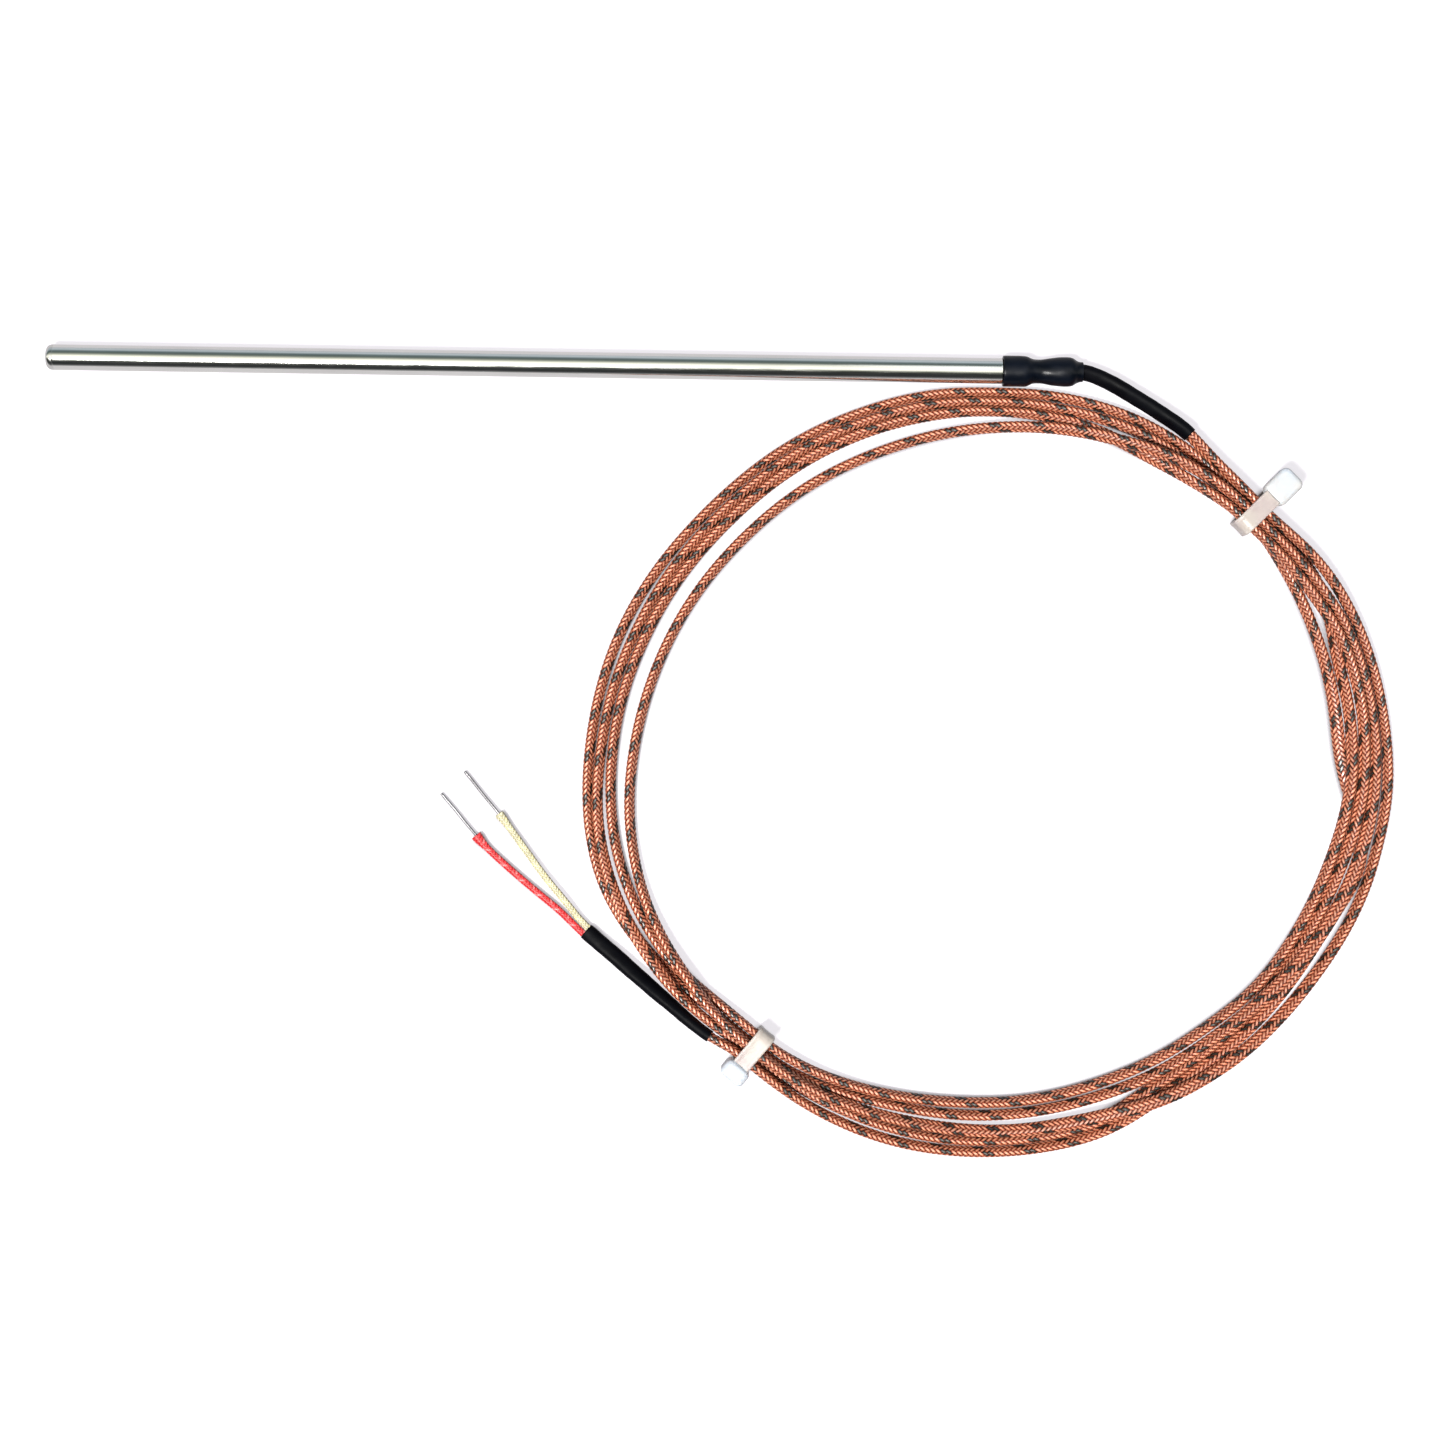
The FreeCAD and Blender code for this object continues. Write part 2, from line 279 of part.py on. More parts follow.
# Boot profiles: x, radius.
BOOT_START, BOOT_END = 186.4, 202.0
BOOT_OUTER = [
    (BOOT_START, 2.92), (BOOT_START + 0.35, 3.0), (188.6, 3.0), (190.4, 2.99), (191.3, 2.82),
    (192.2, 2.43), (193.2, 2.33), (194.2, 2.38), (195.6, 2.62), (197.2, 2.8), (198.4, 2.86),
    (199.2, 2.84), (199.8, 2.74), (200.3, 2.5), (200.8, 2.16), (201.4, 1.96), (BOOT_END, 1.92),
]
BOOT_INNER = [
    (BOOT_START, 2.4), (186.75, 2.36), (188.6, 2.36), (190.9, 2.36), (191.6, 2.3), (192.3, 2.15),
    (193.2, 2.11), (194.1, 2.15), (194.8, 2.3), (195.5, 2.36), (197.0, 2.36), (198.6, 2.36),
    (199.6, 2.37), (200.1, 2.34), (200.5, 2.1), (200.9, 1.86), (201.4, 1.74), (BOOT_END, 1.72),
]

# The negative core lies on the + side of the cable's wide axis.
CORES = (("negative", 1), ("positive", -1))

os.makedirs("parts", exist_ok=True)


def save(name, shape):
    """Write one piece, taken out of its compound if it is alone in it."""
    if shape.ShapeType == "Compound" and len(shape.Solids) == 1:
        shape = shape.Solids[0]
    shape.exportStep("parts/" + name + ".step")


# -------------------------------------------------------------- spline helpers
def slopes(points):
    """Slopes of the natural cubic spline through the points at unit spacing."""
    last = len(points) - 1
    dims = range(len(points[0]))
    right = [[3.0 * (points[min(i + 1, last)][k] - points[max(i - 1, 0)][k]) for k in dims]
             for i in range(last + 1)]
    diagonal = [2.0] + [4.0] * (last - 1) + [2.0]
    for i in range(1, last + 1):
        weight = 1.0 / diagonal[i - 1]
        diagonal[i] -= weight
        for k in dims:
            right[i][k] -= weight * right[i - 1][k]
    result = [None] * (last + 1)
    result[last] = [right[last][k] / diagonal[last] for k in dims]
    for i in range(last - 1, -1, -1):
        result[i] = [(right[i][k] - result[i + 1][k]) / diagonal[i] for k in dims]
    return result


def open_poles(points):
    """Poles of the clamped uniform cubic through the points, two more than the points."""
    slope = slopes(points)
    last = len(points) - 1
    dims = range(len(points[0]))
    first = [[points[i][k] + slope[i][k] / 3.0 for k in dims] for i in range(last)]
    second = [[points[i + 1][k] - slope[i + 1][k] / 3.0 for k in dims] for i in range(last)]
    poles = [list(points[0]), first[0]]
    for i in range(1, last):
        poles.append([2.0 * first[i][k] - second[i][k] for k in dims])
    return poles + [second[-1], list(points[last])]


def closed_poles(points):
    """Poles of the closed uniform cubic through the section points, by iteration."""
    poles = [list(point) for point in points]
    count = len(poles)
    for _ in range(80):
        for j in range(count):
            for k in (0, 1):
                neighbours = poles[j - 1][k], poles[(j + 1) % count][k]
                poles[j][k] = (6.0 * points[j][k] - neighbours[0] - neighbours[1]) / 4.0
    return poles


class Path:
    """Smooth line through rows of x, y, z, roll with a section frame at any station."""

    def __init__(self, rows):
        self.rows = [list(row) for row in rows]
        self.slopes = slopes(self.rows)

    def at(self, station):
        """Centre, tangent, thin axis and wide axis of the section."""
        i = min(max(int(station), 0), len(self.rows) - 2)
        t = station - i
        value = (2 * t**3 - 3 * t**2 + 1, t**3 - 2 * t**2 + t, -2 * t**3 + 3 * t**2, t**3 - t**2)
        rate = (6 * t**2 - 6 * t, 3 * t**2 - 4 * t + 1, -6 * t**2 + 6 * t, 3 * t**2 - 2 * t)
        terms = (self.rows[i], self.slopes[i], self.rows[i + 1], self.slopes[i + 1])

        def blend(weights, k):
            return sum(weight * term[k] for weight, term in zip(weights, terms))

        centre = Vector(*[blend(value, k) for k in range(3)])
        tangent = Vector(*[blend(rate, k) for k in range(3)])
        tangent.normalize()
        side = Z_AXIS.cross(tangent)
        side.normalize()
        up = tangent.cross(side)
        roll = math.radians(blend(value, 3))
        wide = up * math.cos(roll) + side * math.sin(roll)
        return centre, tangent, wide.cross(tangent), wide


# -------------------------------------------------------------- tube along a path
def circle(radius, count=10):
    angles = [2 * math.pi * (j + 0.5) / count for j in range(count)]
    return closed_poles([(radius * math.cos(a), radius * math.sin(a)) for a in angles])


def oval(thick, wide, count=14):
    """Flat oval, a little fuller than an ellipse."""
    fullness = 0.88
    points = []
    for j in range(count):
        angle = 2 * math.pi * (j + 0.5) / count
        cosine, sine = math.cos(angle), math.sin(angle)
        points.append((0.5 * thick * math.copysign(abs(cosine) ** fullness, cosine),
                       0.5 * wide * math.copysign(abs(sine) ** fullness, sine)))
    return closed_poles(points)


def side_face(path, start, end, section, step, offset):
    """Section swept between two stations; offset(station) shifts it along the wide axis."""
    spans = max(3, int(math.ceil((end - start) / step)))
    rows = []
    for i in range(spans + 1):
        station = start + (end - start) * i / spans
        centre, _, thin, wide = path.at(station)
        if offset:
            centre = centre + wide * offset(station)
        rows.append([*centre, *thin, *wide])
    poles = []
    for row in open_poles(rows):
        centre, thin, wide = Vector(*row[0:3]), Vector(*row[3:6]), Vector(*row[6:9])
        poles.append([centre + thin * point[0] + wide * point[1] for point in section])
    count = len(section)
    surface = Part.BSplineSurface()
    surface.buildFromPolesMultsKnots(
        poles, [4] + [1] * (spans - 1) + [4], [1] * (count + 1),
        [float(i) for i in range(spans + 1)], [float(j) for j in range(count + 1)],
        False, True, 3, 3)
    return surface.toShape()


def end_wires(face):
    """The two closed end edges of a side face, start end first."""
    loops = [edge for edge in face.Edges if edge.isClosed()
             or edge.Vertexes[0].Point.distanceToPoint(edge.Vertexes[-1].Point) < 1e-7]
    start = face.valueAt(face.ParameterRange[0], face.ParameterRange[2])
    loops.sort(key=lambda edge: min(v.Point.distanceToPoint(start) for v in edge.Vertexes))
    return Part.Wire([loops[0]]), Part.Wire([loops[-1]])


def tube(path, start, end, outer, inner=None, step=1.0, offset=None):
    """Tube between two stations, or a solid bar when there is no inner section."""
    outer_face = side_face(path, start, end, outer, step, offset)
    outer_ends = end_wires(outer_face)
    if inner:
        inner_face = side_face(path, start, end, inner, step, offset)
        caps = [Part.makeFace([outer_end, inner_end], "Part::FaceMakerBullseye")
                for outer_end, inner_end in zip(outer_ends, end_wires(inner_face))]
        pieces = [outer_face, inner_face] + caps
    else:
        pieces = [outer_face] + [Part.Face(wire) for wire in outer_ends]
    shell = Part.Shell([face for piece in pieces for face in piece.Faces])
    shell.sewShape()
    solid = Part.Solid(shell if shell.ShapeType == "Shell" else shell.Shells[0])
    # Long sweeps can come out slightly invalid or inside out.
    if not solid.isValid():
        solid.fix(1e-4, 1e-4, 1e-3)
    if solid.Volume < 0:
        solid.reverse()
    return solid


# ------------------------------------------------------- turned shapes about X
def turned(wire):
    return Part.Face(wire).revolve(ORIGIN, X_AXIS, 360)


def turned_corners(corners):
    """Turned solid from a closed list of straight (x, radius) corners."""
    points = [Vector(x, radius, 0) for x, radius in corners]
    return turned(Part.makePolygon(points + points[:1]))


def line(start, end):
    return Part.makeLine(Vector(*start, 0), Vector(*end, 0))


def spline(points):
    curve = Part.BSplineCurve()
    curve.interpolate([Vector(x, radius, 0) for x, radius in points])
    return curve.toShape()


def rod(start, end, radius, y=0.0, z=0.0):
    return Part.makeCylinder(radius, end - start, Vector(start, y, z), X_AXIS)


# ---------------------------------------------------------------------- sheath
OUTER_RADIUS = SHEATH_OD / 2
INNER_RADIUS = OUTER_RADIUS - SHEATH_WALL
SWAGE = (SHEATH_OD - REAR_OD) / 2
CRIMP_DROP = (REAR_OD - CRIMP_OD) / 2


def crimped(radius):
    """Corners along X of a wall with the swaged rear end and its rolled crimp."""
    start, end = CRIMP_X - CRIMP_HALF, CRIMP_X + CRIMP_HALF
    rear = radius - SWAGE
    return [(REAR_START, radius), (REAR_START + REAR_RAMP, rear),
            (start - CRIMP_RAMP, rear), (start, rear - CRIMP_DROP),
            (end, rear - CRIMP_DROP), (end + CRIMP_RAMP, rear)]


tube_start = TIP_LEN + JOINT_GAP
save("sheath_tube", turned_corners(
    [(tube_start, OUTER_RADIUS)] + crimped(OUTER_RADIUS)
    + [(SHEATH_LEN, OUTER_RADIUS - SWAGE), (SHEATH_LEN, INNER_RADIUS - SWAGE)]
    + crimped(INNER_RADIUS)[::-1] + [(tube_start, INNER_RADIUS)]))


def tip_arc_point(degrees):
    angle = math.radians(degrees)
    return Vector(TIP_ROUND - TIP_ROUND * math.cos(angle),
                  OUTER_RADIUS - TIP_ROUND + TIP_ROUND * math.sin(angle), 0)


spigot_radius = INNER_RADIUS - SPIGOT_GAP
spigot_end = TIP_LEN + SPIGOT_LEN
save("tip_plug", turned(Part.Wire([
    line((0, 0), (0, OUTER_RADIUS - TIP_ROUND)),
    Part.Arc(*[tip_arc_point(degrees) for degrees in (0, 45, 90)]).toShape(),
    line((TIP_ROUND, OUTER_RADIUS), (TIP_LEN, OUTER_RADIUS)),
    line((TIP_LEN, OUTER_RADIUS), (TIP_LEN, spigot_radius)),
    line((TIP_LEN, spigot_radius), (spigot_end, spigot_radius)),
    line((spigot_end, spigot_radius), (spigot_end, 0)),
    line((spigot_end, 0), (0, 0))])))

# ----------------------------------------------------------- inside the sheath
start_roll = math.radians(CABLE[0][3])
# Direction from the sheath axis to the negative wire.
WIRE_DIRECTION = Vector(0, math.sin(start_roll), math.cos(start_roll))
WIRE_Y = WIRE_OFFSET * WIRE_DIRECTION.y
WIRE_Z = WIRE_OFFSET * WIRE_DIRECTION.z


def wire_rod(start, end, radius, side):
    """Rod on the axis of one of the two wires."""
    return rod(start, end, radius, side * WIRE_Y, side * WIRE_Z)


def cut_bores(body, start, end, radius):
    for _, side in CORES:
        body = body.cut(wire_rod(start - OVERCUT, end + OVERCUT, radius, side))
    return body


# Welded ball with a lobe at each wire, cut flat at the rear.
lobe_x = JUNCTION_X + LOBE_SHIFT
junction = Part.makeSphere(JUNCTION_D / 2, Vector(JUNCTION_X, 0, 0))
lobes = [Part.makeSphere(LOBE_RADIUS, Vector(lobe_x, side * WIRE_Y, side * WIRE_Z))
         for _, side in CORES]
bridge = Part.makeCylinder(LOBE_RADIUS, 2 * WIRE_OFFSET, Vector(lobe_x, -WIRE_Y, -WIRE_Z),
                           WIRE_DIRECTION)
keep_box = Part.makeBox(JUNCTION_CUT, 8, 8, Vector(0, -4, -4))
save("hot_junction", junction.fuse(lobes + [bridge]).common(keep_box).removeSplitter())

for name, side in CORES:
    save("thermoelement_" + name,
         wire_rod(JUNCTION_CUT + JOINT_GAP, WIRE_END, WIRE_D / 2, side))

# Cement fills the tip around the junction and the wires.
cement = rod(spigot_end + 0.1, BEAD_FIRST - 0.1, INNER_RADIUS - FILL_GAP)
chamber = rod(JUNCTION_X - JUNCTION_D / 2 - 0.08, JUNCTION_CUT + 0.35, WIRE_OFFSET + 0.53)
for _, side in CORES:
    chamber = chamber.fuse(wire_rod(JUNCTION_CUT, BEAD_FIRST, WIRE_D / 2 + 0.06, side))
save("tip_cement", cement.cut(chamber))

for i in range(BEAD_COUNT):
    start = BEAD_FIRST + i * BEAD_PITCH
    bead = rod(start, start + BEAD_LEN, BEAD_OD / 2)
    rims = [edge for edge in bead.Edges if edge.Curve.TypeId == "Part::GeomCircle"]
    bead = bead.makeChamfer(BEAD_CHAMFER, rims)
    save("insulator_bead_%d" % (i + 1),
         cut_bores(bead, start, start + BEAD_LEN, BEAD_BORE / 2))

for name, side in CORES:
    end = FERRULE_START + FERRULE_LEN
    ferrule = wire_rod(FERRULE_START, end, FERRULE_OD / 2, side)
    bore = wire_rod(FERRULE_START - OVERCUT, end + OVERCUT, FERRULE_ID / 2, side)
    save("splice_ferrule_" + name, ferrule.cut(bore))

seal = rod(SEAL_START, SEAL_END, INNER_RADIUS - FILL_GAP)
save("rear_seal", cut_bores(seal, SEAL_START, SEAL_END, CORE_OD / 2 + SEAL_BORE_GAP))

# ----------------------------------------------------------------------- cable
cable = Path(CABLE)


def station_at(x):
    """Station of a point on the straight start of the cable."""
    return (x - CABLE[0][0]) / CABLE_STEP


def ease(t):
    t = min(max(t, 0.0), 1.0)
    return t * t * (3 - 2 * t)


def core_offset(station):
    """Core to cable axis: wide in the sheath, close in the cable, wider at the lead mouth."""
    x = CABLE[0][0] + station * CABLE_STEP
    merge = ease((x - CORE_MERGE_START) / CORE_MERGE_LEN)
    spread = ease((station - BRAID_END) / (LEAD_SLEEVE_END - BRAID_END))
    return (WIRE_OFFSET + (CORE_OFFSET - WIRE_OFFSET) * merge
            + (LEAD_MOUTH_OFFSET - CORE_OFFSET) * spread)


# The braid is in two pieces that meet inside the strain relief sleeve.
braid_outer = oval(CABLE_THICK, CABLE_WIDE)
braid_inner = oval(CABLE_THICK - 2 * BRAID_WALL, CABLE_WIDE - 2 * BRAID_WALL)
save("cable_braid", tube(cable, BRAID_SPLIT, BRAID_END, braid_outer, braid_inner))
save("cable_braid_tail", tube(cable, station_at(BRAID_START), BRAID_SPLIT - BRAID_SPLIT_GAP,
                              braid_outer, braid_inner, step=0.5))

for name, side in CORES:
    offset = (lambda station, side=side: side * core_offset(station))
    save("core_insulation_" + name,
         tube(cable, station_at(CORE_INSULATION_START), CORE_END,
              circle(CORE_OD / 2), circle(CORE_ID / 2), offset=offset))
    save("core_wire_" + name,
         tube(cable, station_at(CORE_WIRE_START), CORE_END, circle(WIRE_D / 2), offset=offset))

# Bush with an oval hole, gripped by the rolled crimp.
bush_radius = INNER_RADIUS - BUSH_WALL_GAP
bush = turned_corners([(BUSH_START, 0), (BUSH_START, bush_radius - SWAGE)]
                      + crimped(bush_radius)[2:]
                      + [(BUSH_END, bush_radius - SWAGE), (BUSH_END, 0)])
bush_hole = tube(cable, station_at(BUSH_START - 0.8), station_at(BUSH_END + 0.8),
                 oval(CABLE_THICK + 0.2, CABLE_WIDE + 0.2), step=0.5)
save("crimp_bush", bush.cut(bush_hole))

# Heat-shrink over the tube mouth.
save("boot_heatshrink", turned(Part.Wire(Part.__sortEdges__([
    spline(BOOT_OUTER), spline(BOOT_INNER),
    line(BOOT_OUTER[0], BOOT_INNER[0]), line(BOOT_OUTER[-1], BOOT_INNER[-1])]))))

sleeve_thick, sleeve_wide = CABLE_THICK + 2 * SLEEVE_GAP, CABLE_WIDE + 2 * SLEEVE_GAP
sleeve_inner = oval(sleeve_thick, sleeve_wide)
sleeve_outer = oval(sleeve_thick + 2 * SLEEVE_WALL, sleeve_wide + 2 * SLEEVE_WALL)
for name, start, end in (("strain_relief_sleeve", station_at(SLEEVE_START), SLEEVE_END),
                         ("lead_end_sleeve", LEAD_SLEEVE_START, LEAD_SLEEVE_END)):
    save(name, tube(cable, start, end, sleeve_outer, sleeve_inner, step=0.5))

# ----------------------------------------------------------------------- leads
for name, lead in (("negative", NEGATIVE_LEAD), ("positive", POSITIVE_LEAD)):
    lead_end = Vector(*lead[-1])
    direction = lead_end - Vector(*lead[-2])
    direction.normalize()
    # Three rows beyond the end keep the end of the spline straight.
    beyond = [list(lead_end + direction * (1.5 * i)) for i in (1, 2, 3)]
    lead_path = Path([list(point) + [0.0] for point in lead + beyond])
    last = len(lead) - 1.0
    save("lead_insulation_" + name,
         tube(lead_path, 0.0, last, circle(LEAD_OD / 2), circle(LEAD_ID / 2), step=0.34))
    bare_start, bare_direction, _, _ = lead_path.at(last)
    # The covered wire is slightly thinner, so its end lies inside the bare wire's face.
    covered = tube(lead_path, 0.03, last, circle(WIRE_D / 2 - 0.012), step=0.5)
    bare = Part.makeCylinder(WIRE_D / 2, BARE_LEN, bare_start, bare_direction)
    save("lead_wire_" + name, covered.fuse(bare).removeSplitter())


# ------------------------------------------------------------------ cable ties
# Each tie is built at the coil centre with x radial, y tangential and z up.
def strap(corners, radii):
    """Strap along a centre line of (radial, z) corners, rounded by radii, centred on y."""
    half_width, half_thick = TIE_WIDTH / 2, TIE_THICK / 2
    points = [Vector(x, 0, z) for x, z in corners]
    solids = []
    stops, starts = [], [points[0]]
    for before, corner, after, radius in zip(points, points[1:], points[2:], radii):
        to_before = (before - corner).normalize()
        to_after = (after - corner).normalize()
        stops.append(corner + to_before * radius)
        starts.append(corner + to_after * radius)
        inward = to_before + to_after
        centre = corner + inward * radius
        bend_outer = radius + half_thick
        base = centre - Vector(0, half_width, 0)
        bend = Part.makeCylinder(bend_outer, TIE_WIDTH, base, Y_AXIS).cut(
            Part.makeCylinder(radius - half_thick, TIE_WIDTH, base, Y_AXIS))
        reach = centre - inward * bend_outer
        quarter = Part.makeBox(
            bend_outer, TIE_WIDTH, bend_outer,
            Vector(min(centre.x, reach.x), -half_width, min(centre.z, reach.z)))
        solids.append(bend.common(quarter))
    stops.append(points[-1])
    for start, stop in zip(starts, stops):
        low = Vector(min(start.x, stop.x), -half_width, min(start.z, stop.z))
        high = Vector(max(start.x, stop.x), half_width, max(start.z, stop.z))
        if abs(start.x - stop.x) > abs(start.z - stop.z):
            low.z -= half_thick
            high.z += half_thick
        else:
            low.x -= half_thick
            high.x += half_thick
        size = high - low
        solids.append(Part.makeBox(size.x, size.y, size.z, low))
    return solids[0].fuse(solids[1:]).removeSplitter()


def tie_box(size_x, size_y, size_z, x, z):
    """Box centred on y with its low corner at x, z."""
    return Part.makeBox(size_x, size_y, size_z, Vector(x, -size_y / 2, z))


def rounded_head(head, axis):
    """Round the head's edges along the axis, then the rims of its two ends."""
    def along(edge):
        return abs(edge.tangentAt(edge.FirstParameter).dot(axis))

    head = head.makeFillet(0.55, [edge for edge in head.Edges if along(edge) > 0.9])
    return head.makeFillet(0.3, [edge for edge in head.Edges
                                 if along(edge) < 0.1 and edge.Length > 1.5])


def placed(shape, angle):
    """Move from the frame of the coil to the part frame."""
    shape.rotate(ORIGIN, Z_AXIS, angle)
    shape.translate(Vector(COIL_X, COIL_Y, 0))
    return shape


SLOT_WIDTH = TIE_WIDTH + 2 * TIE_SLOT_SIDE
SLOT_THICK = TIE_THICK + TIE_SLOT_GAP

# Upper tie: head outside the coil with its length radial, tail cut flush on top.
strap_top = 3.45 + TIE_GAP                              # underside of the top run
top_line = strap_top + TIE_THICK / 2
inner_line = 68.28 - TIE_GAP - TIE_THICK / 2
bottom_line = -1.76 - TIE_GAP - TIE_THICK / 2
head_start = 75.5
tail_x = head_start + 2.1
head_bottom = strap_top + TIE_THICK - UPPER_HEAD_DEPTH
upper_strap = strap([(head_start + 0.4, top_line), (inner_line, top_line),
                     (inner_line, bottom_line), (tail_x, bottom_line),
                     (tail_x, strap_top + TIE_THICK + 0.3)], [1.6, 1.6, 1.3])
head = rounded_head(tie_box(TIE_HEAD_LEN, TIE_HEAD_WIDTH, UPPER_HEAD_DEPTH,
                            head_start, head_bottom), Z_AXIS)
slot = tie_box(SLOT_THICK, SLOT_WIDTH, UPPER_HEAD_DEPTH + 2 * OVERCUT,
               tail_x - TIE_THICK / 2 - 0.2, head_bottom - OVERCUT)
root = tie_box(0.7, TIE_WIDTH, TIE_THICK, head_start - 0.25, strap_top)
upper_head = head.cut(slot).fuse(root)
save("cable_tie_upper", placed(upper_head.fuse(upper_strap).removeSplitter(), 45.240))

# Lower tie: head standing on its end outside the coil, tail cut flush facing outwards.
strap_top = 3.62 + TIE_GAP
top_line = strap_top + TIE_THICK / 2
inner_line = 67.90 - TIE_GAP - TIE_THICK / 2
bottom_line = -1.77 - TIE_GAP - TIE_THICK / 2
head_start = 74.68 + TIE_GAP + 0.25
head_bottom = strap_top + TIE_THICK + 0.85 - TIE_HEAD_LEN
lower_strap = strap([(head_start + 1.0, head_bottom + 0.4), (head_start + 1.0, bottom_line),
                     (inner_line, bottom_line), (inner_line, top_line),
                     (head_start + LOWER_HEAD_DEPTH + 0.3, top_line)], [1.0, 1.6, 1.6])
head = rounded_head(tie_box(LOWER_HEAD_DEPTH, TIE_HEAD_WIDTH, TIE_HEAD_LEN,
                            head_start, head_bottom), X_AXIS)
slot = tie_box(LOWER_HEAD_DEPTH + 2 * OVERCUT, SLOT_WIDTH, SLOT_THICK,
               head_start - OVERCUT, strap_top - TIE_SLOT_GAP / 2)
save("cable_tie_lower", placed(head.cut(slot).fuse(lower_strap).removeSplitter(), -129.760))
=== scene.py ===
"""Thermocouple probe with a coiled, braided cable, lying flat on a white floor; +Z is up.

The steel probe runs along +X from its closed tip at x = 0. The cable leaves its far end, winds
round COIL under two nylon ties and splits into two bare-ended leads. Lengths are in millimetres
up to the point where a mesh is made; lights and camera are in metres.
"""
import math

import bpy
import numpy as np
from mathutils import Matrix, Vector


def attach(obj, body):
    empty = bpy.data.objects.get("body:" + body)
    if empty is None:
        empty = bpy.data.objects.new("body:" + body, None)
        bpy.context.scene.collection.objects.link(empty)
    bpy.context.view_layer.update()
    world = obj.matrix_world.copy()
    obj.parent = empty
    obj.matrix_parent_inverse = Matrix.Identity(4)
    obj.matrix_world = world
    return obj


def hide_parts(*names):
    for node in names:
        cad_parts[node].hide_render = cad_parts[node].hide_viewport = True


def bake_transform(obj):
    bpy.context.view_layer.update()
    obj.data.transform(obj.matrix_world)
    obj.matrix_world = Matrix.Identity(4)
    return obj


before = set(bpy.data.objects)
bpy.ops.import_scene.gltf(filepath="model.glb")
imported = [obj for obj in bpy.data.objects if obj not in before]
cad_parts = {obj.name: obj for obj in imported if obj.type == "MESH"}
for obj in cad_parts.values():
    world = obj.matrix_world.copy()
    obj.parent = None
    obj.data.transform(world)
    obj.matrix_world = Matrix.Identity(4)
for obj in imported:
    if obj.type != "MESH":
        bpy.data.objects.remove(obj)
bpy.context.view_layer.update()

scene = bpy.context.scene


def table(text):
    """Array from rows of numbers parted by semicolons."""
    return np.array([[float(value) for value in row.split()] for row in text.split(";")])


# ------------------------------------------------------------------ sizes
MM = 0.001
TABLE_Z = -3.0
COIL = np.array((185.244, -78.023))  # middle of the coil, x and y
TUBE_RADIUS = 2.5

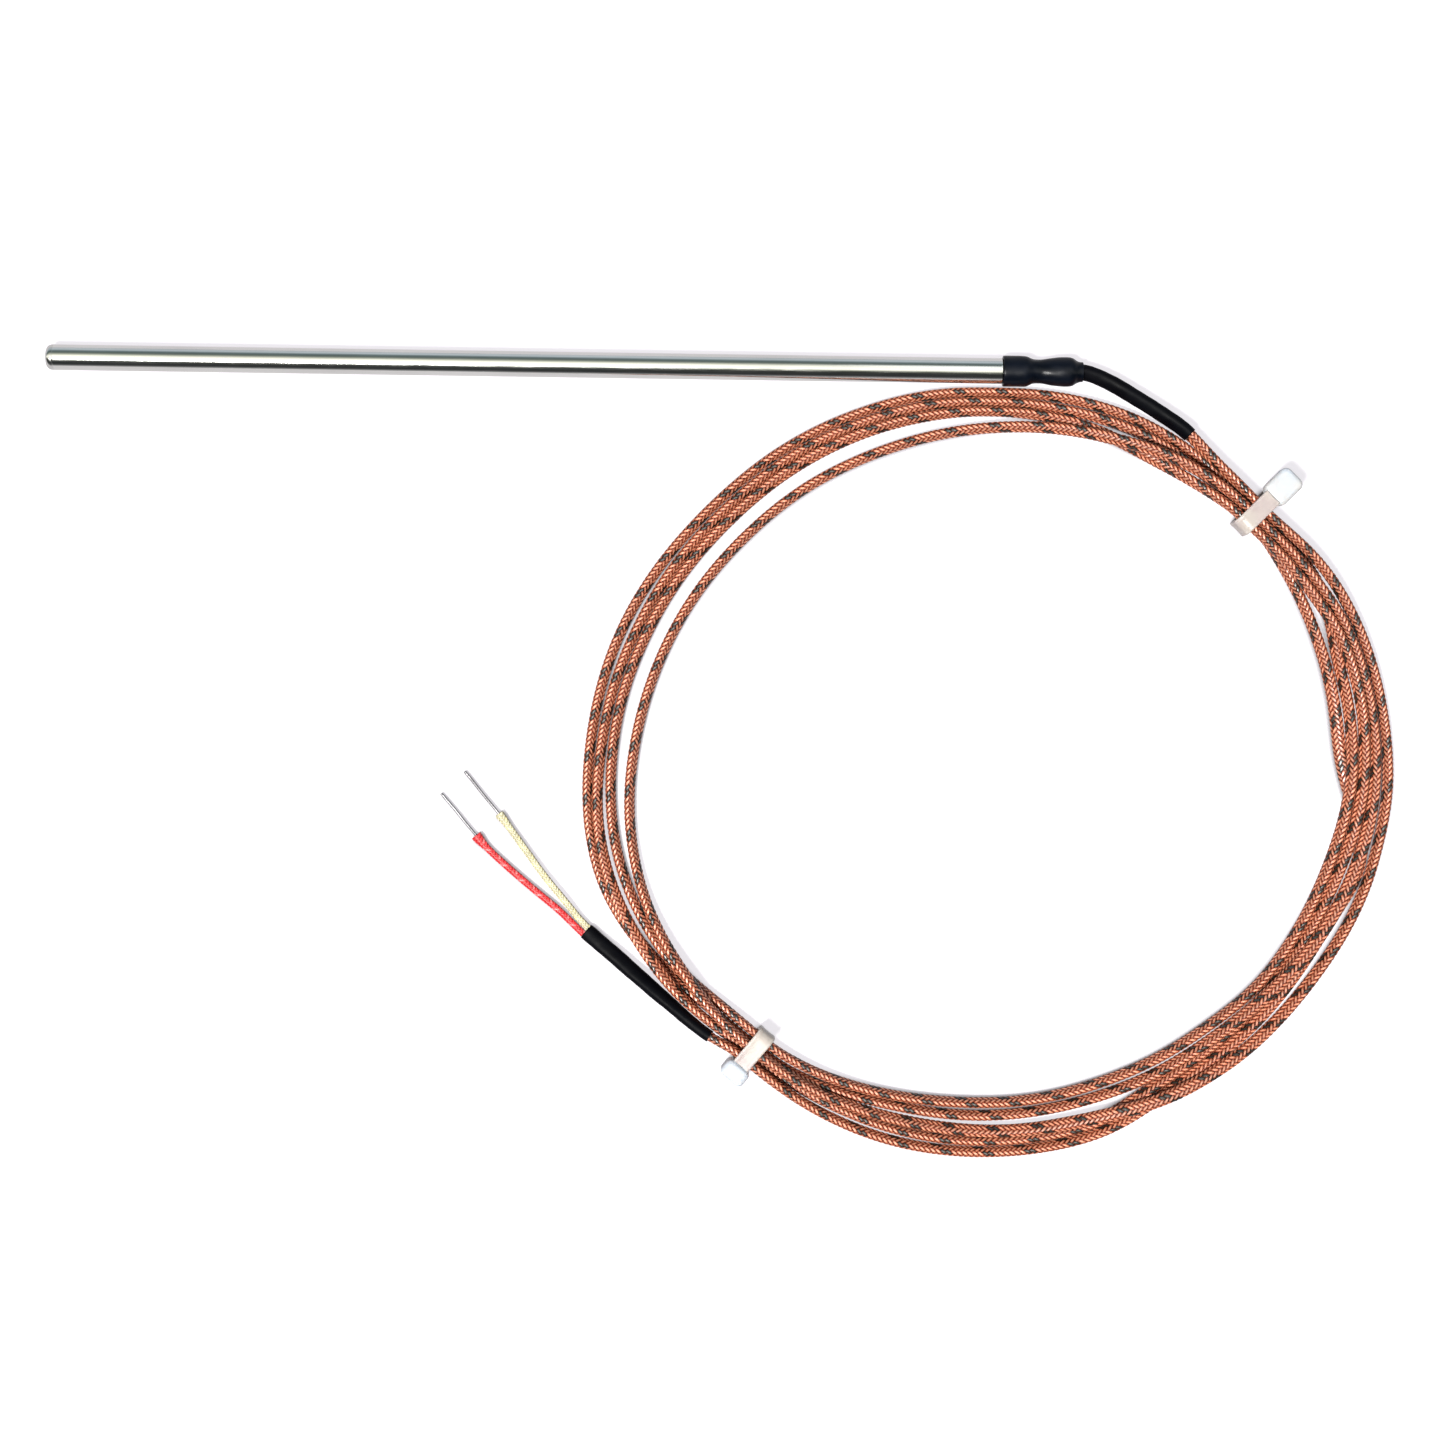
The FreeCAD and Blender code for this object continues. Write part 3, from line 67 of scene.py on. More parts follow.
# Cable centre line, one row every CABLE_STEP: x, y, z, roll of the wide axis from vertical in
# degrees. A "station" along a line is a row number, with fractions between rows.
CABLE_STEP = 4.6002
CABLE = table("""
169.938 0 0 50; 174.538 0 0 50; 179.138 0 0 50; 183.738 0 0 50; 188.339 0 0 50;
192.939 0 0 50; 197.539 0 0 50.3; 202.135 -0.08 0.02 49.9; 206.54 -1.6 0.12 49.1;
210.62 -3.83 0.24 47.6; 214.57 -6.217 0.397 45.3; 218.451 -8.678 0.611 41.7;
222.159 -11.38 0.883 36.6; 225.404 -14.621 1.208 29.8; 228.6 -17.909 1.561 21.7;
231.93 -21.07 1.849 12.6; 235.192 -24.305 2.074 5.4; 238.472 -27.53 2.069 4.2;
241.963 -30.503 1.732 6.4; 245.434 -33.486 1.274 9.8; 248.649 -36.733 0.761 13.8;
251.511 -40.3 0.277 17.3; 253.998 -44.144 -0.157 20; 256.158 -48.187 -0.534 21.9;
258.012 -52.383 -0.85 23.2; 259.556 -56.709 -1.101 23.9; 260.79 -61.135 -1.293 24.3;
261.74 -65.633 -1.435 24.5; 262.434 -70.179 -1.534 24.4; 262.873 -74.757 -1.599 24;
262.965 -79.355 -1.639 23.4; 262.618 -83.94 -1.662 22.6; 261.882 -88.48 -1.673 21.4;
260.883 -92.97 -1.677 20.1; 259.672 -97.407 -1.674 19.6; 258.093 -101.727 -1.649 22.3;
256.18 -105.909 -1.607 26; 253.957 -109.935 -1.542 29.7; 251.485 -113.813 -1.444 33.5;
248.823 -117.562 -1.305 37.3; 245.998 -121.187 -1.118 41.2; 243.001 -124.667 -0.881 45.2;
239.813 -127.971 -0.599 49.6; 236.425 -131.066 -0.285 54.5; 232.812 -133.896 0.015 60;
229.004 -136.463 0.266 65.6; 225.046 -138.797 0.457 70.5; 220.927 -140.842 0.539 73.4;
216.642 -142.51 0.531 74.6; 212.236 -143.828 0.481 74.4; 207.791 -144.983 0.212 70.1;
203.328 -146.058 -0.077 65.3; 198.834 -147.007 -0.331 61.1; 194.299 -147.746 -0.535 57.3;
189.724 -148.197 -0.673 53.9; 185.127 -148.313 -0.736 50.5; 180.532 -148.11 -0.715 46.9;
175.958 -147.638 -0.604 43.1; 171.418 -146.923 -0.403 38.9; 166.928 -145.969 -0.118 34.4;
162.5 -144.776 0.241 29.5; 158.15 -143.342 0.659 24.2; 153.899 -141.641 1.096 18.9;
149.777 -139.645 1.517 13.7; 145.821 -137.333 1.916 8.3; 142.044 -134.73 2.244 3.9;
138.48 -131.822 2.276 3.6; 134.992 -128.831 2.102 8.6; 131.769 -125.562 1.829 15.9;
128.836 -122.029 1.568 22.9; 126.108 -118.343 1.215 27.5; 123.532 -114.568 0.693 27.8;
121.203 -110.633 0.204 27.2; 119.198 -106.516 -0.227 26.6; 117.569 -102.232 -0.596 26;
116.328 -97.814 -0.899 25.6; 115.455 -93.305 -1.139 25.3; 114.937 -88.739 -1.322 25.2;
114.786 -84.144 -1.456 25.1; 114.999 -79.551 -1.548 25; 115.53 -74.983 -1.61 25;
116.334 -70.454 -1.649 25; 117.405 -65.981 -1.672 25; 118.744 -61.581 -1.685 25;
120.349 -57.27 -1.691 25; 122.216 -53.067 -1.695 25; 124.344 -48.989 -1.696 25;
126.732 -45.058 -1.697 25; 129.378 -41.296 -1.697 25; 132.26 -37.712 -1.697 25;
135.346 -34.301 -1.697 25; 138.606 -31.056 -1.697 25; 142.036 -27.992 -1.696 25;
145.647 -25.143 -1.695 25; 149.445 -22.549 -1.693 25; 153.415 -20.226 -1.687 25;
157.526 -18.163 -1.677 25.1; 161.748 -16.337 -1.658 25.2; 166.059 -14.735 -1.626 25.4;
170.452 -13.371 -1.574 25.7; 174.921 -12.288 -1.495 26.3; 179.451 -11.5 -1.379 27.2;
184.019 -10.99 -1.218 28.5; 188.607 -10.74 -1.002 30.3; 193.198 -10.755 -0.724 32.6;
197.774 -11.066 -0.377 35.3; 202.31 -11.694 0.044 38.4; 206.785 -12.638 0.538 41.4;
211.206 -13.803 1.038 41.8; 215.595 -15.134 1.392 37.1; 219.887 -16.771 1.608 29.6;
224.007 -18.805 1.792 21.7; 227.924 -21.207 1.988 13.5; 231.622 -23.938 2.108 5.1;
235.039 -27.014 2.119 0.6; 238.356 -30.2 2.046 2.1; 241.684 -33.361 1.753 7.3;
244.861 -36.675 1.466 12.6; 247.867 -40.146 1.204 17.4; 250.663 -43.791 0.962 21.4;
253.136 -47.651 0.62 23.7; 255.196 -51.749 0.279 25.2; 256.862 -56.026 -0.003 26.2;
258.179 -60.428 -0.205 27.1; 259.171 -64.917 -0.322 28.6; 259.844 -69.467 -0.359 31;
260.178 -74.054 -0.324 34.2; 260.147 -78.651 -0.23 38.3; 259.734 -83.229 -0.085 43.2;
258.938 -87.755 0.095 48.2; 257.768 -92.201 0.206 51.2; 256.265 -96.548 0.282 52.5;
254.456 -100.775 0.378 53.3; 252.353 -104.864 0.497 53.7; 249.954 -108.785 0.632 54.1;
247.253 -112.506 0.753 54.4; 244.287 -116.021 0.811 54.2; 241.11 -119.346 0.764 52.6;
237.771 -122.505 0.588 48.8; 234.308 -125.521 0.319 43.4; 230.729 -128.395 0.031 38.2;
227.043 -131.133 -0.253 34.1; 223.248 -133.716 -0.537 31.2; 219.31 -136.077 -0.806 29.2;
215.216 -138.16 -1.041 27.8; 210.99 -139.966 -1.234 26.8; 206.663 -141.517 -1.386 26;
202.255 -142.829 -1.497 25.6; 197.781 -143.891 -1.575 25.2; 193.251 -144.686 -1.626 24.9;
188.68 -145.195 -1.656 24.7; 184.085 -145.404 -1.672 24.3; 179.487 -145.308 -1.675 23.8;
174.904 -144.914 -1.666 23; 170.35 -144.265 -1.643 21.9; 165.829 -143.423 -1.599 20.2;
161.342 -142.412 -1.525 17.9; 156.908 -141.193 -1.408 14.9; 152.56 -139.705 -1.218 11.7;
148.363 -137.847 -0.948 8.3; 144.366 -135.596 -0.619 4.8; 140.659 -132.889 -0.417 3.1;
137.098 -129.982 -0.525 3.9; 133.499 -127.15 -0.959 7.3; 129.876 -124.342 -1.349 14.5;
126.278 -121.489 -1.619 24.8; 122.851 -118.424 -1.739 35.3; 119.604 -115.167 -1.78 43.1;
116.568 -111.712 -1.793 45.6; 113.82 -108.025 -1.781 43.9; 111.44 -104.09 -1.763 40.5;
109.539 -99.905 -1.745 36.8; 108.156 -95.519 -1.73 33.5; 107.236 -91.014 -1.718 30.8;
106.724 -86.444 -1.71 28.6; 106.577 -81.847 -1.704 27.1; 106.738 -77.25 -1.701 26.1;
107.158 -72.67 -1.699 25.5; 107.825 -68.119 -1.698 25.2; 108.753 -63.614 -1.697 25;
109.956 -59.174 -1.697 24.9; 111.45 -54.824 -1.696 24.8; 113.241 -50.588 -1.696 24.6;
115.32 -46.485 -1.695 24.4; 117.663 -42.527 -1.694 24; 120.243 -38.72 -1.692 23.5;
123.037 -35.066 -1.69 22.8; 126.015 -31.561 -1.688 22; 129.153 -28.197 -1.685 21.2;
132.429 -24.968 -1.683 20.3; 135.845 -21.887 -1.681 19.4; 139.414 -18.986 -1.679 18.6;
143.15 -16.304 -1.677 17.9; 147.052 -13.868 -1.675 17.3; 151.104 -11.692 -1.675 17;
155.286 -9.778 -1.674 16.9; 159.572 -8.107 -1.675 17; 163.941 -6.669 -1.675 17.1;
168.39 -5.503 -1.675 17; 172.913 -4.668 -1.674 16.8; 177.486 -4.184 -1.673 16.4;
182.083 -4.027 -1.674 16; 186.683 -4.026 -1.675 16.4; 191.281 -4.157 -1.675 18.2;
195.863 -4.556 -1.673 20.1; 200.408 -5.262 -1.664 21.8; 204.89 -6.294 -1.645 23;
209.283 -7.655 -1.609 23.6; 213.557 -9.352 -1.548 23.2; 217.677 -11.393 -1.456 21.8;
221.599 -13.791 -1.325 19; 225.279 -16.544 -1.152 15.3; 228.738 -19.566 -0.923 11.1;
232.07 -22.724 -0.633 6.8; 235.354 -25.937 -0.421 4.2; 238.653 -29.14 -0.494 5.9;
242.103 -32.159 -0.875 12.8; 245.337 -35.41 -1.203 21.1; 248.01 -39.139 -1.449 29.3;
250.014 -43.269 -1.662 36.1; 251.357 -47.664 -1.704 39.3; 252.259 -52.174 -1.608 39.3;
253.193 -56.67 -1.35 36.8; 254.254 -61.135 -1.028 33.9; 255.059 -65.648 -0.668 32.5;
255.495 -70.211 -0.282 33.3; 255.657 -74.793 0.085 35.2; 255.41 -79.381 0.191 35.6;
254.735 -83.923 -0.039 31.9; 253.733 -88.403 -0.324 29.3; 252.418 -92.802 -0.596 27.9;
250.889 -97.134 -0.835 26.6; 249.157 -101.391 -1.031 25.4; 247.196 -105.549 -1.186 24.2;
244.984 -109.579 -1.302 23.1; 242.527 -113.467 -1.399 22.4; 239.801 -117.169 -1.488 22.2;
236.724 -120.586 -1.557 22.1; 233.307 -123.662 -1.607 21.8; 229.677 -126.487 -1.642 21.5;
225.953 -129.187 -1.666 21.3; 222.125 -131.738 -1.681 21.4; 218.146 -134.044 -1.686 22;
214.016 -136.069 -1.689 22.8; 209.77 -137.838 -1.691 23.4; 205.439 -139.387 -1.692 24;
201.036 -140.715 -1.69 24.3; 196.556 -141.756 -1.686 24.5; 192.01 -142.457 -1.676 24.6;
187.427 -142.839 -1.659 24.4; 182.828 -142.949 -1.63 24.1; 178.23 -142.836 -1.586 23.5;
173.642 -142.518 -1.523 22.7; 169.075 -141.974 -1.435 21.4; 164.548 -141.171 -1.321 19.7;
160.078 -140.096 -1.184 17.7; 155.688 -138.733 -1.02 15; 151.409 -137.058 -0.827 11.6;
147.288 -135.027 -0.616 7.5; 143.376 -132.621 -0.423 3.9; 139.796 -129.733 -0.414 3.6;
136.22 -126.848 -0.627 7.7; 132.608 -124.013 -0.894 14.9; 128.974 -121.204 -1.153 22.3;
125.496 -118.2 -1.314 27.7; 122.401 -114.802 -1.41 30.4; 119.691 -111.088 -1.491 31.3;
117.318 -107.149 -1.557 31; 115.291 -103.021 -1.607 30; 113.637 -98.73 -1.643 28.8;
112.394 -94.303 -1.667 27.6; 111.576 -89.777 -1.681 26.7; 111.151 -85.198 -1.689 26.1;
111.068 -80.599 -1.692 25.7; 111.291 -76.005 -1.692 25.7; 111.808 -71.435 -1.689 25.8;
112.631 -66.91 -1.683 26.3; 113.779 -62.457 -1.672 27; 115.24 -58.095 -1.655 28;
116.967 -53.832 -1.63 29.2; 118.924 -49.67 -1.596 30.7; 121.115 -45.626 -1.552 32.1;
123.555 -41.727 -1.497 33.4; 126.245 -37.997 -1.434 34.4; 129.161 -34.441 -1.368 35.2;
132.264 -31.046 -1.306 36; 135.525 -27.802 -1.253 36.8; 138.94 -24.721 -1.212 37.5;
142.524 -21.838 -1.177 38; 146.285 -19.191 -1.147 37.8; 150.211 -16.796 -1.119 37.2;
154.283 -14.657 -1.096 36.1; 158.485 -12.786 -1.075 34.4; 162.804 -11.206 -1.062 32.4;
167.223 -9.931 -1.055 30; 171.715 -8.941 -1.048 26.8; 176.258 -8.223 -1.044 23;
180.841 -7.837 -1.042 18.9; 185.44 -7.782 -1.073 17.3; 190.034 -7.976 -1.172 20;
194.597 -8.541 -1.291 25.3; 199.109 -9.425 -1.399 31.2; 203.536 -10.666 -1.481 37;
207.819 -12.339 -1.519 41.8; 211.934 -14.389 -1.399 42.5; 215.951 -16.595 -1.005 37.5;
219.924 -18.829 -0.386 30; 223.826 -21.158 0.325 22.1; 227.607 -23.665 1.086 14.2;
231.259 -26.352 1.862 6.9; 234.634 -29.461 2.073 4.6; 238.011 -32.583 2 8.3;
241.295 -35.797 1.805 14.9; 244.351 -39.225 1.55 20.3; 247.26 -42.781 1.318 24.2;
249.998 -46.472 1.125 26.8; 252.418 -50.378 0.977 27.9; 254.389 -54.528 0.788 27.6;
255.901 -58.866 0.581 27; 257.011 -63.325 0.409 27.1; 257.675 -67.873 0.279 29.2;
257.948 -72.464 0.197 33; 257.901 -77.063 0.158 37.5; 257.503 -81.644 0.15 42.2;
256.702 -86.171 0.05 44.1; 255.544 -90.609 -0.283 41.4; 254.117 -94.97 -0.608 38.3;
252.47 -99.254 -0.904 35.8; 250.599 -103.448 -1.172 34; 248.503 -107.536 -1.405 33;
246.196 -111.511 -1.586 32.8; 243.687 -115.364 -1.695 33.3; 240.994 -119.093 -1.731 33.8;
238.1 -122.668 -1.725 33; 234.975 -126.043 -1.692 31.4; 231.619 -129.187 -1.66 30.1;
228.059 -132.099 -1.645 30.1; 224.363 -134.838 -1.652 31.6; 220.617 -137.508 -1.687 35;
216.86 -140.163 -1.734 39.1; 213.087 -142.793 -1.773 42.2; 209.162 -145.189 -1.761 40.6;
204.958 -147.047 -1.732 36.7; 200.552 -148.362 -1.72 33.7; 196.046 -149.282 -1.71 31.2;
191.49 -149.913 -1.7 29; 186.903 -150.257 -1.69 27.2; 182.304 -150.299 -1.677 25.8;
177.713 -150.027 -1.657 24.7; 173.152 -149.434 -1.626 23.6; 168.645 -148.521 -1.577 22.4;
164.214 -147.291 -1.505 20.9; 159.876 -145.763 -1.404 18.8; 155.634 -143.99 -1.268 15.9;
151.485 -142.013 -1.095 12.1; 147.454 -139.808 -0.885 8.1; 143.555 -137.382 -0.619 4.7;
139.851 -134.669 -0.41 3.1; 136.284 -131.764 -0.352 2.4; 132.654 -128.956 -0.045 2.3;
129.071 -126.096 0.34 9.8; 125.666 -123.022 0.658 23.4; 122.564 -119.63 0.798 37.2;
119.728 -116.011 0.741 46.6; 117.12 -112.227 0.531 50.2; 114.768 -108.286 0.234 48.8;
112.74 -104.171 -0.084 44.8; 111.092 -99.888 -0.379 40.3; 109.836 -95.472 -0.645 36.1;
108.996 -90.957 -0.881 32.4; 108.577 -86.382 -1.087 29.5; 108.561 -81.787 -1.258 27.5;
108.864 -77.199 -1.394 26.2; 109.389 -72.63 -1.497 25.4; 110.135 -68.092 -1.571 24.8;
111.166 -63.61 -1.622 24.5; 112.52 -59.215 -1.654 24.3; 114.165 -54.92 -1.673 24.3;
116.045 -50.722 -1.685 24.4; 118.142 -46.628 -1.692 24.9; 120.469 -42.66 -1.698 25.7;
123.038 -38.845 -1.703 26.8; 125.846 -35.202 -1.708 28.2; 128.86 -31.727 -1.715 29.9;
132.043 -28.407 -1.722 31.7; 135.373 -25.234 -1.73 33.4; 138.851 -22.224 -1.735 34.8;
142.489 -19.41 -1.737 35.5; 146.299 -16.833 -1.735 35.5; 150.28 -14.529 -1.73 34.9;
154.408 -12.501 -1.726 34.2; 158.654 -10.732 -1.721 33.3; 162.992 -9.205 -1.702 31.6;
167.408 -7.917 -1.672 29.1; 171.898 -6.921 -1.634 25.7; 176.451 -6.273 -1.591 21.6;
181.041 -5.984 -1.549 17.8; 185.64 -5.948 -1.536 16.5; 190.237 -6.104 -1.563 17.9;
194.811 -6.59 -1.573 19.5; 199.351 -7.33 -1.559 20.6; 203.844 -8.311 -1.524 21.3;
208.255 -9.611 -1.463 21.5; 212.55 -11.255 -1.374 21; 216.71 -13.211 -1.258 19.8;
220.677 -15.532 -1.116 17.6; 224.361 -18.279 -0.953 14.4; 227.81 -21.317 -0.779 10.4;
231.113 -24.51 -0.548 6.2; 234.355 -27.77 -0.408 4.4; 237.481 -31.135 -0.555 7.8;
240.203 -34.828 -0.887 15.3; 242.696 -38.687 -1.088 21.2; 244.954 -42.691 -1.247 25.6;
246.958 -46.829 -1.385 28.9; 248.716 -51.078 -1.5 31.7; 250.227 -55.421 -1.596 34.8;
251.452 -59.853 -1.68 39.4; 252.383 -64.357 -1.767 46.9; 253.067 -68.904 -1.858 57.6;
253.725 -73.456 -1.955 70.5; 254.732 -77.942 -2.039 80.6; 256.033 -82.354 -2.052 83;
257.283 -86.781 -2.041 82; 257.974 -91.322 -2.028 80; 257.512 -95.882 -1.992 76;
255.821 -100.148 -1.969 72.8; 253.474 -104.104 -1.948 69.8; 251.076 -108.03 -1.924 66.3;
248.679 -111.956 -1.895 62.1; 246.205 -115.834 -1.863 57.6; 243.562 -119.598 -1.837 53.6;
240.71 -123.207 -1.821 51; 237.63 -126.623 -1.813 49.5; 234.323 -129.82 -1.807 48.6;
230.816 -132.795 -1.801 47.6; 227.163 -135.591 -1.796 46.6; 223.451 -138.308 -1.793 46;
219.762 -141.056 -1.78 43.5; 216.033 -143.748 -1.757 39.3; 212.145 -146.205 -1.734 34.5;
208.029 -148.254 -1.715 30.2; 203.699 -149.801 -1.702 27.5; 199.241 -150.931 -1.682 26;
194.715 -151.747 -1.655 24.9; 190.146 -152.276 -1.616 24.2; 185.553 -152.519 -1.555 23.8;
180.955 -152.471 -1.463 23.5; 176.37 -152.129 -1.331 23.2; 171.82 -151.483 -1.15 22.7;
167.329 -150.521 -0.91 21.9; 162.925 -149.231 -0.604 20.6; 158.633 -147.622 -0.235 18.6;
154.464 -145.727 0.197 15.6; 150.432 -143.569 0.688 11.9; 146.561 -141.142 1.213 7.6;
142.845 -138.481 1.73 4.1; 139.24 -135.644 2.037 2.9; 135.596 -132.841 1.981 2.5;
131.588 -130.645 1.474 2.9; 127.838 -128.057 0.869 10.6; 124.305 -125.166 0.305 25.3;
120.776 -122.258 -0.195 40.6; 117.26 -119.326 -0.648 54.5; 113.754 -116.378 -1.067 67;
110.228 -113.45 -1.456 78.4; 106.679 -110.548 -1.798 89.1
""")
# Centre lines of the two free leads: x, y, z
NEGATIVE_LEAD = table("""
105.895 -110.875 -1.816; 104.722 -109.955 -1.93; 103.679 -108.9 -2.018;
102.762 -107.716 -2.071; 101.799 -106.578 -2.11; 100.695 -105.584 -2.145;
99.498 -104.683 -2.176; 98.277 -103.805 -2.197; 97.091 -102.888 -2.207;
95.947 -101.926 -2.209; 94.831 -100.936 -2.207; 93.726 -99.933 -2.209;
92.618 -98.935 -2.22; 91.493 -97.956 -2.241; 90.346 -97.002 -2.26; 89.174 -96.075 -2.257;
87.974 -95.179 -2.215; 86.777 -94.28 -2.144; 85.743 -93.219 -2.151; 84.78 -92.075 -2.2
""")
POSITIVE_LEAD = table("""
106.846 -109.716 -1.84; 105.674 -108.778 -1.98; 104.661 -107.713 -1.873;
103.82 -106.511 -1.499; 102.98 -105.306 -1.134; 101.992 -104.217 -1.017;
100.876 -103.227 -1.136; 99.711 -102.271 -1.382; 98.578 -101.282 -1.647;
97.549 -100.203 -1.835; 96.623 -99.032 -1.935; 95.765 -97.802 -1.982; 94.94 -96.54 -2.007;
94.112 -95.278 -2.044; 93.257 -94.037 -2.116; 92.417 -92.792 -2.182; 91.652 -91.507 -2.181;
91 -90.156 -2.068; 90.172 -88.929 -2.043; 89.202 -87.778 -2.1
""")

# Stations on the cable
SLEEVE_END = 12.227
LEAD_SLEEVE_START = 459.095
LEAD_SLEEVE_END = float(len(CABLE) - 1)
BRAID_END = LEAD_SLEEVE_END - 1.3
# Oval sections: narrow and wide diameter
CABLE_SECTION = (1.75, 2.65)
SLEEVE_IN = (1.95, 2.85)
SLEEVE_OUT = (2.35, 3.25)
# Distance of each core from the centre line: in the probe, in the cable, at the leads' mouth
WIRE_OFFSET, CORE_OFFSET, MOUTH_OFFSET = 0.8, 0.56, 0.75
# Angles of the ties round the coil, in degrees
ANGLE_UPPER, ANGLE_LOWER = 45.240, -129.760


# ------------------------------------------------------------------ lines
def slopes(points):
    """Slopes at the points of a natural cubic spline."""
    last = len(points) - 1
    i = np.arange(last + 1)
    matrix = np.zeros((last + 1, last + 1))
    matrix[i, i] = 4.0
    matrix[i[1:], i[:-1]] = 1.0
    matrix[i[:-1], i[1:]] = 1.0
    matrix[0, 0] = matrix[last, last] = 2.0
    right = np.zeros_like(points)
    right[1:-1] = 3.0 * (points[2:] - points[:-2])
    right[0] = 3.0 * (points[1] - points[0])
    right[last] = 3.0 * (points[last] - points[last - 1])
    return np.linalg.solve(matrix, right)


def segment(points, slope, stations):
    """Share along its segment, and the segment's ends, for each station."""
    i = np.clip(stations.astype(int), 0, len(points) - 2)
    return (stations - i)[..., None], points[i], slope[i], points[i + 1], slope[i + 1]


def hermite(t, a, slope_a, b, slope_b):
    return ((2 * t**3 - 3 * t**2 + 1) * a + (t**3 - 2 * t**2 + t) * slope_a
            + (-2 * t**3 + 3 * t**2) * b + (t**3 - t**2) * slope_b)


def hermite_slope(t, a, slope_a, b, slope_b):
    return ((6 * t**2 - 6 * t) * a + (3 * t**2 - 4 * t + 1) * slope_a
            + (-6 * t**2 + 6 * t) * b + (3 * t**2 - 2 * t) * slope_b)


def unit(v):
    return v / np.linalg.norm(v, axis=-1, keepdims=True)


def path_lengths(points):
    """Length along a polyline at each of its points."""
    return np.r_[0.0, np.cumsum(np.linalg.norm(np.diff(points, axis=0), axis=1))]


class Line:
    """Smooth line through rows of x, y, z, roll, with a section frame at any station."""

    def __init__(self, rows):
        self.rows = rows
        self.slopes = slopes(rows)
        self.last = len(rows) - 1.0
        self.samples = np.linspace(0.0, self.last, int(self.last * 40) + 1)
        self.arcs = path_lengths(self.at(self.samples)[0])
        self.length = self.arcs[-1]

    def at(self, stations):
        """Centre, direction, narrow axis and wide axis."""
        ends = segment(self.rows, self.slopes, stations)
        place = hermite(*ends)
        ahead = unit(hermite_slope(*ends)[..., :3])
        side = unit(np.cross(np.array((0.0, 0.0, 1.0)), ahead))
        up = np.cross(ahead, side)
        roll = np.radians(place[..., 3:4])
        wide = up * np.cos(roll) + side * np.sin(roll)
        return place[..., :3], ahead, np.cross(wide, ahead), wide

    def centre(self, station):
        return self.at(np.array([station]))[0][0]

    def arc(self, station):
        """Arc length at a station."""
        return np.interp(station, self.samples, self.arcs)

    def station(self, arc):
        return np.interp(arc, self.arcs, self.samples)


cable = Line(CABLE)


def station_at(x):
    """Station on the cable's straight start, from x."""
    return (x - CABLE[0][0]) / CABLE_STEP


def smooth(t):
    t = np.clip(t, 0.0, 1.0)
    return t * t * (3 - 2 * t)


def oval(thick, wide):
    """Function of the share round an oval, 0 to 1, giving the point and the outward normal."""
    turn = np.linspace(0, 2 * math.pi, 1441)
    edge = np.stack([0.5 * size * np.sign(wave) * np.abs(wave) ** 0.88
                     for size, wave in ((thick, np.cos(turn)), (wide, np.sin(turn)))])
    arcs = path_lengths(edge.T)
    shares = np.linspace(0, 1, 361)
    edge = np.stack([np.interp(shares * arcs[-1], arcs, axis) for axis in edge])
    edge[:, -1] = edge[:, 0]
    tangent = np.roll(edge[:, :-1], -1, axis=1) - np.roll(edge[:, :-1], 1, axis=1)
    for _ in range(6):
        tangent = (np.roll(tangent, 1, axis=1) + 2 * tangent + np.roll(tangent, -1, axis=1)) / 4
    tangent = tangent / np.hypot(*tangent)
    normal = np.stack([tangent[1], -tangent[0]])
    columns = np.r_[edge, np.c_[normal, normal[:, :1]]]
    return lambda share: [np.interp(np.mod(share, 1.0), shares, column) for column in columns]


# ------------------------------------------------------------------ meshes
def make(name, verts, quads, tris, material, weave=None):
    """Smooth mesh object with its faces turned outward. weave adds a braid's uv and yarn, in
    the order of the corners of quads, then tris, and its relief and sleek for each vertex."""
    triangles = np.r_[quads[:, [0, 1, 2]], quads[:, [0, 2, 3]], tris]
    a, b, c = (verts[triangles[:, i]] for i in range(3))
    loops = np.r_[quads.ravel(), tris.ravel()]
    order = np.arange(len(loops))
    if np.einsum("ij,ij->i", a, np.cross(b, c)).sum() < 0:
        order = np.r_[order[:quads.size].reshape(-1, 4)[:, ::-1].ravel(),
                      order[quads.size:].reshape(-1, 3)[:, ::-1].ravel()]
    mesh = bpy.data.meshes.new(name)
    mesh.vertices.add(len(verts))
    mesh.vertices.foreach_set("co", (verts * MM).astype(np.float32).ravel())
    mesh.loops.add(len(loops))
    mesh.loops.foreach_set("vertex_index", loops[order].astype(np.int32))
    start = np.r_[np.arange(len(quads)) * 4, quads.size + np.arange(len(tris)) * 3]
    mesh.polygons.add(len(start))
    mesh.polygons.foreach_set("loop_start", start.astype(np.int32))
    mesh.polygons.foreach_set("use_smooth", np.full(len(start), True))
    mesh.update(calc_edges=True)
    if weave:
        layer = mesh.uv_layers.new(name="Weave")
        layer.data.foreach_set("uv", weave["uv"][order].astype(np.float32).ravel())
        for key, kind, domain, field, values in (
                ("yarn", "FLOAT_COLOR", "CORNER", "color", weave["yarn"][order]),
                ("relief", "FLOAT", "POINT", "value", weave["relief"]),
                ("sleek", "FLOAT_VECTOR", "POINT", "vector", weave["sleek"])):
            attribute = mesh.attributes.new(key, kind, domain)
            attribute.data.foreach_set(field, values.astype(np.float32).ravel())
    mesh.validate()
    ob = bpy.data.objects.new(name, mesh)
    scene.collection.objects.link(ob)
    mesh.materials.append(material)
    return ob


